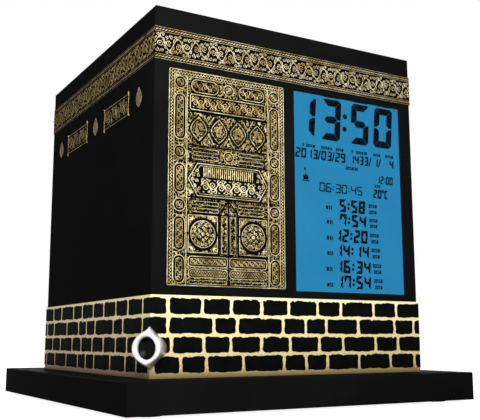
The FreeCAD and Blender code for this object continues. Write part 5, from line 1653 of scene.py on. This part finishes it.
@dataclass
class SideOrnaments(Assembly):
    """Cartouches and hanging drops under the band on the three faces beside and behind the
    display. Millimetres; offsets are from the middle of a face."""

    cartouche: float = 25.4
    offset: float = 22.6
    drop: float = 5.0
    drop_offset: float = 44.6
    ground: float = 0.12
    frame_width: float = 0.26

    def build(self) -> None:
        """Make the ornaments on each face."""
        low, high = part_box("side_cartouches")
        silk, olive, threads, borders = [], [], [], []
        for side in (Side.RIGHT, Side.BACK, Side.LEFT):
            face = self.bench.faces[side]
            foot, head = face.measure(low).y, face.measure(high).y
            grounds, leaves, lines, frames, fills = Plates(), Plates(), Threads(), Threads(), []
            for shift in (-self.offset, self.offset):
                left = (face.width - self.cartouche) / 2 + shift
                pane = Pane(left, foot, left + self.cartouche, head, 0.5)
                grounds.plate(pane.inset(0.1), 0.0, self.ground)
                frames.line(pane.inset(0.25), self.frame_width, True)
                self.spikes(frames, pane)
                fills.append(self.bench.fill(pane, self.ground, 0.8, 0.32))
            for shift in (-self.drop_offset, 0.0, self.drop_offset):
                self.hang(leaves, lines, face.width / 2 + shift, foot, head)
            place = face.matrix()
            silk.append((grounds.mesh(), place))
            olive.append((leaves.mesh(), place))
            threads += [(mesh, place) for mesh in (self.bench.lay(lines, self.ground), *fills)]
            borders.append((self.bench.lay(frames, self.ground), place))
        self.piece("cartouche_frames", borders, ANTIQUE_THREAD, "gold_thread")
        self.piece("cartouche_grounds", silk, SILK_GROUND, replaces=("side_cartouches",))
        self.piece("drop_leaves", olive, OLIVE_SATIN, replaces=("side_drops",))
        # the side embroidery uses the darker thread as painted shade
        self.piece("side_embroidery", threads, SHADED_SIDE_THREAD, "gold_thread")

    @staticmethod
    def spikes(lines: Threads, pane: Pane) -> None:
        """Short points at the corners of a cartouche."""
        for u, w, angle in (
            (pane.right - 0.3, pane.high - 0.4, 1.7),
            (pane.left + 0.3, pane.low + 0.4, -1.45),
            (pane.left + 0.4, pane.high - 0.3, 2.6),
            (pane.right - 0.4, pane.low + 0.3, -0.6),
        ):
            lines.leaf(u, w, angle, 1.3, 0.7, 0.0)

    def hang(self, leaves: Plates, lines: Threads, middle: float, foot: float, head: float) -> None:
        """One drop: a satin leaf, widest below its middle, with an edge and a heart line.

        Args:
            leaves, lines: the satin shapes and the threads that it is added to.
            middle: its middle along the face.
            foot, head: its lowest and highest point.
        """
        tall = head - foot
        outline = []
        for step in range(1, 16):
            rise = step / 16
            reach = math.sin(math.pi * rise**0.82) ** 1.15 * self.drop / 2
            outline.append((reach, tall * (rise - 0.5) * 0.92))
        half = [(0.0, -tall * 0.46), *outline, (0.0, tall * 0.46)]
        whole = half + [(-u, w) for u, w in outline[::-1]]
        centre = foot + tall / 2
        leaves.plate([(middle + u, centre + w) for u, w in whole], 0.0, self.ground)
        for share, width in ((0.93, 0.34), (0.4, 0.2)):
            lines.line([(middle + u * share, centre + w * share) for u, w in whole], width, True)


# ---- corner ring


@dataclass
class CornerRing(Assembly):
    """Silver ring with two points on the front left corner, and the hollowed dark stone in it.
    Millimetres; depth is measured outwards from the skirt's corner along the diagonal."""

    height: float = 9.6
    skin: float = 0.6
    steps: int = 120
    root_radius: float = 4.35
    root_tip: float = 6.9
    point_width: float = 0.66
    hole_half_width: float = 3.05
    hole_half_height: float = 3.55

    def build(self) -> None:
        """Make the ring and its stone."""
        front, left = self.bench.faces[Side.FRONT], self.bench.faces[Side.LEFT]
        out = (front.out + left.out).normalized()
        corner = front.corner + (front.out + left.out) * self.skin * MM + Vector((0, 0, self.height * MM))
        seat = upright(Vector((0, 0, 1)).cross(out), out, corner)
        ring = [(lofted(self.ring_sections(), closed=True), seat)]
        self.piece("silver_ring", ring, SILVER_PLATE, "silver_plate", ("corner_ring",))
        stone = [(lofted(self.stone_sections(), closed=False), seat)]
        self.piece("hollow_stone", stone, ONYX, "dark_stone", ("corner_stone",))

    def pointed(self, radius: float, tip: float, depth: float) -> list[Vector]:
        """A round section drawn out to a point above and below."""

        def reach(turn: float) -> float:
            """How far out it lies at an angle."""
            off = abs(math.remainder(turn - math.pi / 2, math.pi)) / self.point_width
            return radius + (tip - radius) * max(0.0, 1 - off) ** 1.75

        return section(reach, depth, self.steps)

    def oval(self, half_width: float, half_height: float, depth: float) -> list[Vector]:
        """An upright oval section."""

        def reach(turn: float) -> float:
            """How far out it lies at an angle."""
            spread = math.hypot(half_height * math.cos(turn), half_width * math.sin(turn))
            return half_width * half_height / spread

        return section(reach, depth, self.steps)

    def ring_sections(self) -> list[list[Vector]]:
        """The ring's sections, from the skirt, over the rim, and down the hole."""
        root = self.pointed(self.root_radius, self.root_tip, 0.0)
        root = [Vector((point.x, point.y, 0.2 - abs(point.x))) for point in root]
        outside = ((4.55, 6.3, 1.0), (4.7, 5.85, 2.1), (4.75, 5.6, 2.7), (4.68, 5.4, 3.0), (4.45, 5.1, 3.2))
        inside = ((0.75, 0.7, 3.25), (0.35, 0.35, 3.12), (0.1, 0.1, 2.85), (0, 0, 2.6), (0, 0, 0.6))
        wide, tall = self.hole_half_width, self.hole_half_height
        sections = [root, *[self.pointed(*turn) for turn in (*outside, (4.2, 4.8, 3.27))]]
        return sections + [self.oval(wide + u, tall + w, depth) for u, w, depth in inside]

    def stone_sections(self) -> list[list[Vector]]:
        """The stone's sections: its side, its rim, and the hollow that sinks to its middle."""
        wide, tall = self.hole_half_width - 0.02, self.hole_half_height - 0.02
        rings = [(1.0, 0.35), (1.0, 1.9), (0.95, 1.95)]
        rings += [(share, 0.55 + 1.25 * share**2) for share in (0.8, 0.6, 0.4, 0.2)]
        return [self.oval(wide * share, tall * share, depth) for share, depth in rings]


# ---- rear panel


@dataclass
class Fasteners(Assembly):
    """Cross-recessed pan head screws in place of the plain ones of a node."""

    steps: int = 48
    cross_long: float = 0.62
    cross_half: float = 0.16
    cross_deep: float = 0.55
    seed: int = 3

    def cross(self, turn: float) -> float:
        """How far out the cross lies at an angle, as a share of the head's radius."""
        off = abs(math.remainder(turn, math.pi / 2))
        return min(self.cross_long / math.cos(off), self.cross_half / max(math.sin(off), 1e-6))

    def screw(self, radius: float, head: float, length: float) -> Mesh:
        """One screw whose head's top is at the origin, facing the third axis.

        Args:
            radius, head: radius and height of the head.
            length: length of the whole screw.

        Returns:
            A smooth closed mesh.
        """
        rounds = [(0.2, length), (0.45, length * 0.92), (0.45, head), (1.0, head), (1.0, head * 0.45)]
        rounds += [(0.9, head * 0.12), (0.78, 0.0)]
        parts = [section(lambda turn: radius * share, -depth, self.steps) for share, depth in rounds]
        for share, depth in ((1.0, 0.0), (0.8, head * self.cross_deep)):
            parts.append(section(lambda turn: radius * share * self.cross(turn), -depth, self.steps))
        return lofted(parts, closed=False)

    def build(self, node: str, out: Vector, head: float) -> None:
        """Set a screw where each plain one is.

        Args:
            node: the plain screws' node.
            out: the way that the heads face.
            head: height of a head, in millimetres.
        """
        places, radius, length = [], 0.0, 0.0
        for low, high in self.islands(node):
            middle, half = (low + high) / 2, (high - low) / 2
            reach = abs(half.dot(out))
            places.append(middle + out * reach)
            radius, length = max(half.x, half.y if abs(out.z) > 0.5 else half.z), 2 * reach
        points = bpy.data.meshes.new("screw_places")
        points.from_pydata(places, [], [])
        motif = bpy.data.objects.new("screw", self.screw(radius, head * MM, length))
        facing = tuple(out.to_track_quat("Z", "Y").to_euler())
        inputs = {"Facing": facing, "Seed": self.seed, "Motif": motif, "Material": ZINC.make()}
        screws = [(self.bench.place.apply(points, **inputs), Matrix())]
        bpy.data.batch_remove((motif, motif.data))
        self.piece(f"crosshead_{node}", screws, ZINC, "steel", (node,))

    @staticmethod
    def islands(node: str) -> list[tuple[Vector, Vector]]:
        """The box of each separate screw in a node, in order of place."""
        shell = bmesh.new()
        shell.from_mesh(frame["nodes"][node].data)
        bmesh.ops.remove_doubles(shell, verts=shell.verts, dist=1e-6)
        left, boxes = set(shell.verts), []
        while left:
            group = [left.pop()]
            for vert in group:
                near = {link.other_vert(vert) for link in vert.link_edges} & left
                left -= near
                group += near
            spans = list(zip(*(vert.co for vert in group)))
            boxes.append(tuple(Vector([end(span) for span in spans]) for end in (min, max)))
        shell.free()
        return sorted(boxes, key=lambda box: tuple(box[0]))


class Mark(Enum):
    """The small printed signs beside the controls."""

    PAGES = "mode_key"
    RING = "set_key"
    UP = "up_key"
    DOWN = "down_key"
    LAMP = "light_key"


@dataclass
class ControlMark(Assembly):
    """Pale printed signs on a key or on the rear panel. Millimetres."""

    print_height: float = 0.03
    stroke: float = 0.24
    plates: Plates = field(default_factory=Plates)
    threads: Threads = field(default_factory=Threads)

    def build(self, mark: Mark) -> None:
        """Print a sign on the middle of its key.

        Args:
            mark: which sign.
        """
        low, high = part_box(mark.value)
        face = self.bench.faces[Side.BACK]
        middle = face.measure((low + high) / 2)
        if mark is Mark.UP:
            self.solid([(-1.2, -0.8), (1.2, -0.8), (0.0, 1.2)])
        elif mark is Mark.DOWN:
            self.solid([(-1.2, 0.8), (0.0, -1.2), (1.2, 0.8)])
        elif mark is Mark.RING:
            self.threads.line(disc(0, 0, 1.1, 24), self.stroke, True)
        elif mark is Mark.PAGES:
            self.threads.line(rounded(-1.3, -0.9, 0.7, 0.6, 0.2), self.stroke, True)
            self.threads.line([(-0.6, 1.1), (1.3, 1.1), (1.3, -0.4)], self.stroke)
        else:
            self.solid(disc(0, 0, 0.65, 16))
            for ray in range(8):
                ends = [polar(0, 0, reach, math.pi * ray / 4) for reach in (1.05, 1.65)]
                self.threads.line(ends, self.stroke)
        self.finish((middle.x, middle.y, face.measure(high).z), f"{mark.value}_sign")

    def beside_controls(self) -> None:
        """Print the signs of the slide switch and of the power inlet on the rear panel."""
        face = self.bench.faces[Side.BACK]
        cap_low, cap_high = (face.measure(corner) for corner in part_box("slide_switch_cap"))
        low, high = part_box("power_inlet")
        level, inlet = (cap_low.y + cap_high.y) / 2, face.measure((low + high) / 2).x
        self.threads.line(disc(cap_low.x + 3.2, level, 0.8, 20), self.stroke, True)
        self.solid(disc(cap_low.x - 11.2, level, 0.8, 20))
        self.solid(disc(inlet, level - 7.0, 0.5, 12))
        ring = [polar(inlet, level - 7.0, 1.35, turn / 4) for turn in range(3, 24)]
        self.threads.line(ring, self.stroke)
        self.finish((0, 0, face.measure(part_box("rear_panel")[1]).z), "control_signs")

    def solid(self, outline: Outline) -> None:
        """Print one filled shape."""
        self.plates.plate(outline, 0.0, self.print_height)

    def finish(self, middle: tuple[float, float, float], name: str) -> None:
        """Make one piece of the shapes and lines.

        Args:
            middle: where the sign's origin lies on the cube's back.
            name: the piece's name.
        """
        place = self.bench.faces[Side.BACK].matrix() @ Matrix.Translation(middle)
        meshes = [(self.plates.mesh(), place)]
        if self.threads.lines:
            meshes.append((self.bench.lay(self.threads, 0.0), place))
        self.piece(name, meshes, MARK_INK, "white_plastic")


# ---- display


class Segment(Enum):
    """The bars of a seven-bar digit: whether it stands, and whether it is turned over sideways
    and upside down from the upper left bar or the top bar."""

    TOP = (False, False, False)
    MIDDLE = (False, True, False)
    BOTTOM = (False, False, True)
    UPPER_LEFT = (True, False, False)
    UPPER_RIGHT = (True, True, False)
    LOWER_LEFT = (True, False, True)
    LOWER_RIGHT = (True, True, True)


T, M, B, UL, UR, LL, LR = Segment
LIT = {
    "0": (T, B, UL, UR, LL, LR),
    "1": (UR, LR),
    "2": (T, M, B, UR, LL),
    "3": (T, M, B, UR, LR),
    "4": (M, UL, UR, LR),
    "5": (T, M, B, UL, LR),
    "6": (T, M, B, UL, LL, LR),
    "7": (T, UL, UR, LR),
    "8": (T, M, B, UL, UR, LL, LR),
    "9": (T, M, B, UL, UR, LR),
    "C": (T, B, UL, LL),
}


@dataclass
class Display(Assembly):
    """Back-lit cell behind its clear window, with the segments that are lit. Millimetres from the
    display's lower left corner, whose place in the frame is left and foot."""

    left: float = 0.6
    foot: float = 40.4
    slant: float = 0.075
    ink: float = 0.03
    joint: float = 0.02
    waist: float = 0.1
    row_mark: Rows = ((0, 1.1, 0.7, 0.15), (1.4, 1.9, 0.8, 0.12), (2.2, 2.7, 0.8, 0.12))
    plates: Plates = field(default_factory=Plates)

    def build(self) -> None:
        """Make the lit cell, the segments and the window."""
        face = self.bench.faces[Side.FRONT]
        self.dress(LIT_CELL, "lcd_front_glass")
        corner = face.measure(Vector((self.left * MM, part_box("lcd_front_glass")[0].y, self.foot * MM)))
        self.clock()
        self.calendar()
        self.rows()
        segments = [(self.plates.mesh(), face.matrix() @ Matrix.Translation(corner))]
        self.piece("lit_segments", segments, SEGMENT_INK, "lcd_glass")
        self.dress(LENS, "display_window")

    def light(self, outline: Outline, foot: float | None = None) -> None:
        """Light one segment, slanted from the foot of its sign, or upright if none is given."""
        if foot is not None:
            outline = [(u + (w - foot) * self.slant, w) for u, w in outline]
        self.plates.plate(outline, 0.0, self.ink)

    def mitred(self, segment: Segment, width: float, height: float, stroke: float) -> Outline:
        """One bar of an upright digit, mitred where it meets its neighbours.

        Args:
            segment: which bar.
            width, height: the digit's size.
            stroke: width of the bar.

        Returns:
            The bar's outline from the digit's lower left corner.
        """
        stands, sideways, upside_down = segment.value
        half, middle, gap = stroke / 2, height / 2, self.joint * stroke
        waist, cut = (self.waist * stroke, 0.42 * stroke) if stroke > 2 else (gap, 0.25 * stroke)
        if segment is Segment.MIDDLE:
            left, right = stroke + gap, width - stroke - gap
            ends = [(half + gap, middle), (left, middle - half), (right, middle - half)]
            return ends + [(width - half - gap, middle), (right, middle + half), (left, middle + half)]
        if stands:
            outline = [(0.0, height - cut), (0.0, middle + waist), (half, middle + waist)]
            outline += [(stroke, middle + half + gap), (stroke, height - stroke - gap)]
            outline.append((cut / 2, height - cut / 2 - gap))
        else:
            outline = [(cut, height), (cut / 2 + gap, height - cut / 2), (stroke + gap, height - stroke)]
            outline += [(width - u, w) for u, w in outline[::-1]]
        if sideways:
            outline = [(width - u, w) for u, w in outline[::-1]]
        if upside_down:
            outline = [(u, height - w) for u, w in outline[::-1]]
        return outline

    def bar(self, start: Point, end: Point, stroke: float, foot: float) -> None:
        """Light one bar with pointed ends, slanted with its sign.

        Args:
            start, end: its two ends.
            stroke: its width.
            foot: the foot of its sign.
        """
        along = Vector(end) - Vector(start)
        trim, near = -0.06 * stroke, 0.28 * stroke
        tip, far = along.length - trim, along.length - near
        along.normalize()
        side = Vector((along.y, -along.x)) * stroke / 2
        ways = ((trim, 0), (near, 1), (far, 1), (tip, 0), (far, -1), (near, -1))
        self.light([tuple(Vector(start) + along * way + side * off) for way, off in ways], foot)

    def sign(self, sign: str, left: float, low: float, width: float, height: float, stroke: float) -> None:
        """One seven-bar digit in a box, or a colon, slash or degree mark.

        Args:
            sign: the sign.
            left, low: its box's lower left corner.
            width, height: the box's size.
            stroke: width of a bar.
        """
        if sign == ":":
            for share in (0.32, 0.66):
                u, w = left + width / 2 + share * height * self.slant, low + share * height
                self.light(disc(u, w, stroke * 0.52, 12))
        elif sign == "/":
            self.bar((left + width * 0.1, low), (left + width * 0.75, low + height), stroke * 0.8, low)
        elif sign == "'":
            corners = ((0.2, 0.72), (0.8, 0.72), (0.8, 0.98), (0.2, 0.98))
            ring = [(left + width * u, low + height * w) for u, w in corners]
            for start, end in zip(ring, ring[1:] + ring[:1]):
                self.bar(start, end, stroke * 0.7, low)
        for segment in LIT.get(sign, ()):
            bar = self.mitred(segment, width, height, stroke)
            self.light([(left + u, low + w) for u, w in bar], low)

    def line(self, signs: str, left: float, right: float, low: float, high: float, stroke: float) -> None:
        """A run of signs between two edges; colons, slashes and degree marks are half as wide.

        Args:
            signs: the signs.
            left, right, low, high: the run's edges.
            stroke: width of a bar.
        """
        shares = [0.5 if sign in ":/'" else 1.0 for sign in signs]
        height = high - low
        step = (right - left - height * self.slant) / sum(shares)
        for sign, share in zip(signs, shares):
            inset = 0.07 * step if share == 1.0 else 0.0
            self.sign(sign, left + inset, low, step * share - 2 * inset, height, stroke)
            left += step * share

    def marks(self, left: float, right: float, middle: float, height: float = 1.4) -> None:
        """A tiny row of plain digits about a middle height, where a caption would stand."""
        count = max(1, round((right - left) / 1.05))
        self.line(("3058" * 2)[:count], left, right, middle - height / 2, middle + height / 2, 0.4)

    def clock(self) -> None:
        """The large time across the top."""
        low, high, stroke = 57.2, 73.4, 2.75
        for sign, left, right in (("1", 0.6, 9.2), ("3", 11.9, 21.0), ("5", 25.9, 34.7), ("0", 37.2, 46.2)):
            self.sign(sign, left, low, right - left, high - low, stroke)
        for w in (62.5, 67.5):
            self.light(disc(23.0 + (w - low) * self.slant, w, 1.05, 16))

    def calendar(self) -> None:
        """The two dates with their captions, the alarm time and the temperature."""
        for signs, left, right, low, high, stroke in (
            ("2013/03/29", 0.3, 23.8, 49.1, 52.8, 0.72),
            ("1433", 25.5, 34.8, 49.1, 52.7, 0.72),
            ("/1/", 34.6, 41.2, 49.1, 52.7, 0.7),
            ("4", 44.9, 47.5, 49.1, 52.7, 0.72),
            ("12:00", 38.3, 46.8, 42.6, 45.8, 0.58),
            ("20'C", 36.3, 44.3, 36.7, 40.2, 0.74),
            ("06:30:45", 10.8, 31.6, 37.1, 40.6, 0.52),
        ):
            self.line(signs, left, right, low, high, stroke)
        captions = ((3.4, 4.4), (5.1, 9.5), (11.9, 17.3), (18.8, 22.8), (26.2, 27.2), (28.4, 34.2))
        for left, right in (*captions, (36.8, 40.7), (42.7, 47.3)):
            self.marks(left, right, 54.0, 1.15)
        self.marks(23.3, 29.5, 47.3, 1.3)
        self.marks(37.0, 40.5, 41.5, 1.1)
        self.light(disc(4.7, 45.0, 0.5, 10))
        bell = ((3.9, 41.0, 6.2, 42.6, 0.3), (3.5, 40.4, 6.7, 40.8, 0.1), (4.7, 42.6, 5.4, 43.2, 0.2))
        for edges in bell:
            self.light(rounded(*edges))

    def rows(self) -> None:
        """The six daily times, each with a small mark before it and two captions after it."""
        for signs, left, right, low, high, mark, caption in (
            ("5:58", 19.7, 32.8, 30.0, 35.0, 13.9, 33.6),
            ("7:54", 19.7, 33.1, 24.6, 29.4, 14.1, 33.8),
            ("12:20", 17.2, 33.6, 18.6, 23.6, 14.0, 34.1),
            ("14:14", 17.4, 34.1, 12.9, 17.9, 14.1, 34.5),
            ("16:34", 17.2, 34.7, 7.0, 11.9, 13.6, 35.0),
            ("17:54", 17.4, 34.6, 1.2, 6.2, 13.8, 35.4),
        ):
            self.line(signs, left, right, low, high, 1.1)
            for start, end, half, corner in self.row_mark:
                edges = mark + start, low + 1.3 - half, mark + end, low + 1.3 + half
                self.light(rounded(*edges, corner, 2))
            self.marks(caption, caption + 4.6, high - 1.6)
            self.marks(caption + 0.4, caption + 4.4, low + 1.0)


def report_sizes() -> None:
    """Work out the box of the frame and the box of the finished clock."""
    [[list(corner) for corner in box] for box in (CAD_BOX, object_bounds())]


def main() -> None:
    """Build the studio and every sub-assembly in order."""
    logging.basicConfig(level=logging.INFO, format="%(name)s %(message)s")
    Studio().build()
    bench = Bench()
    for sub_assembly in (Housing, GoldBand, DoorCurtain, StoneSkirt, SideOrnaments, CornerRing):
        sub_assembly(bench).build()
    for mark in Mark:
        ControlMark(bench, mark.value).build(mark)
    ControlMark(bench).beside_controls()
    Fasteners(bench).build("rear_panel_screws", Vector((0, 1, 0)), 1.0)
    Fasteners(bench).build("base_screws", Vector((0, 0, -1)), 1.5)
    Display(bench).build()
    report_sizes()


if __name__ == "__main__":
    main()
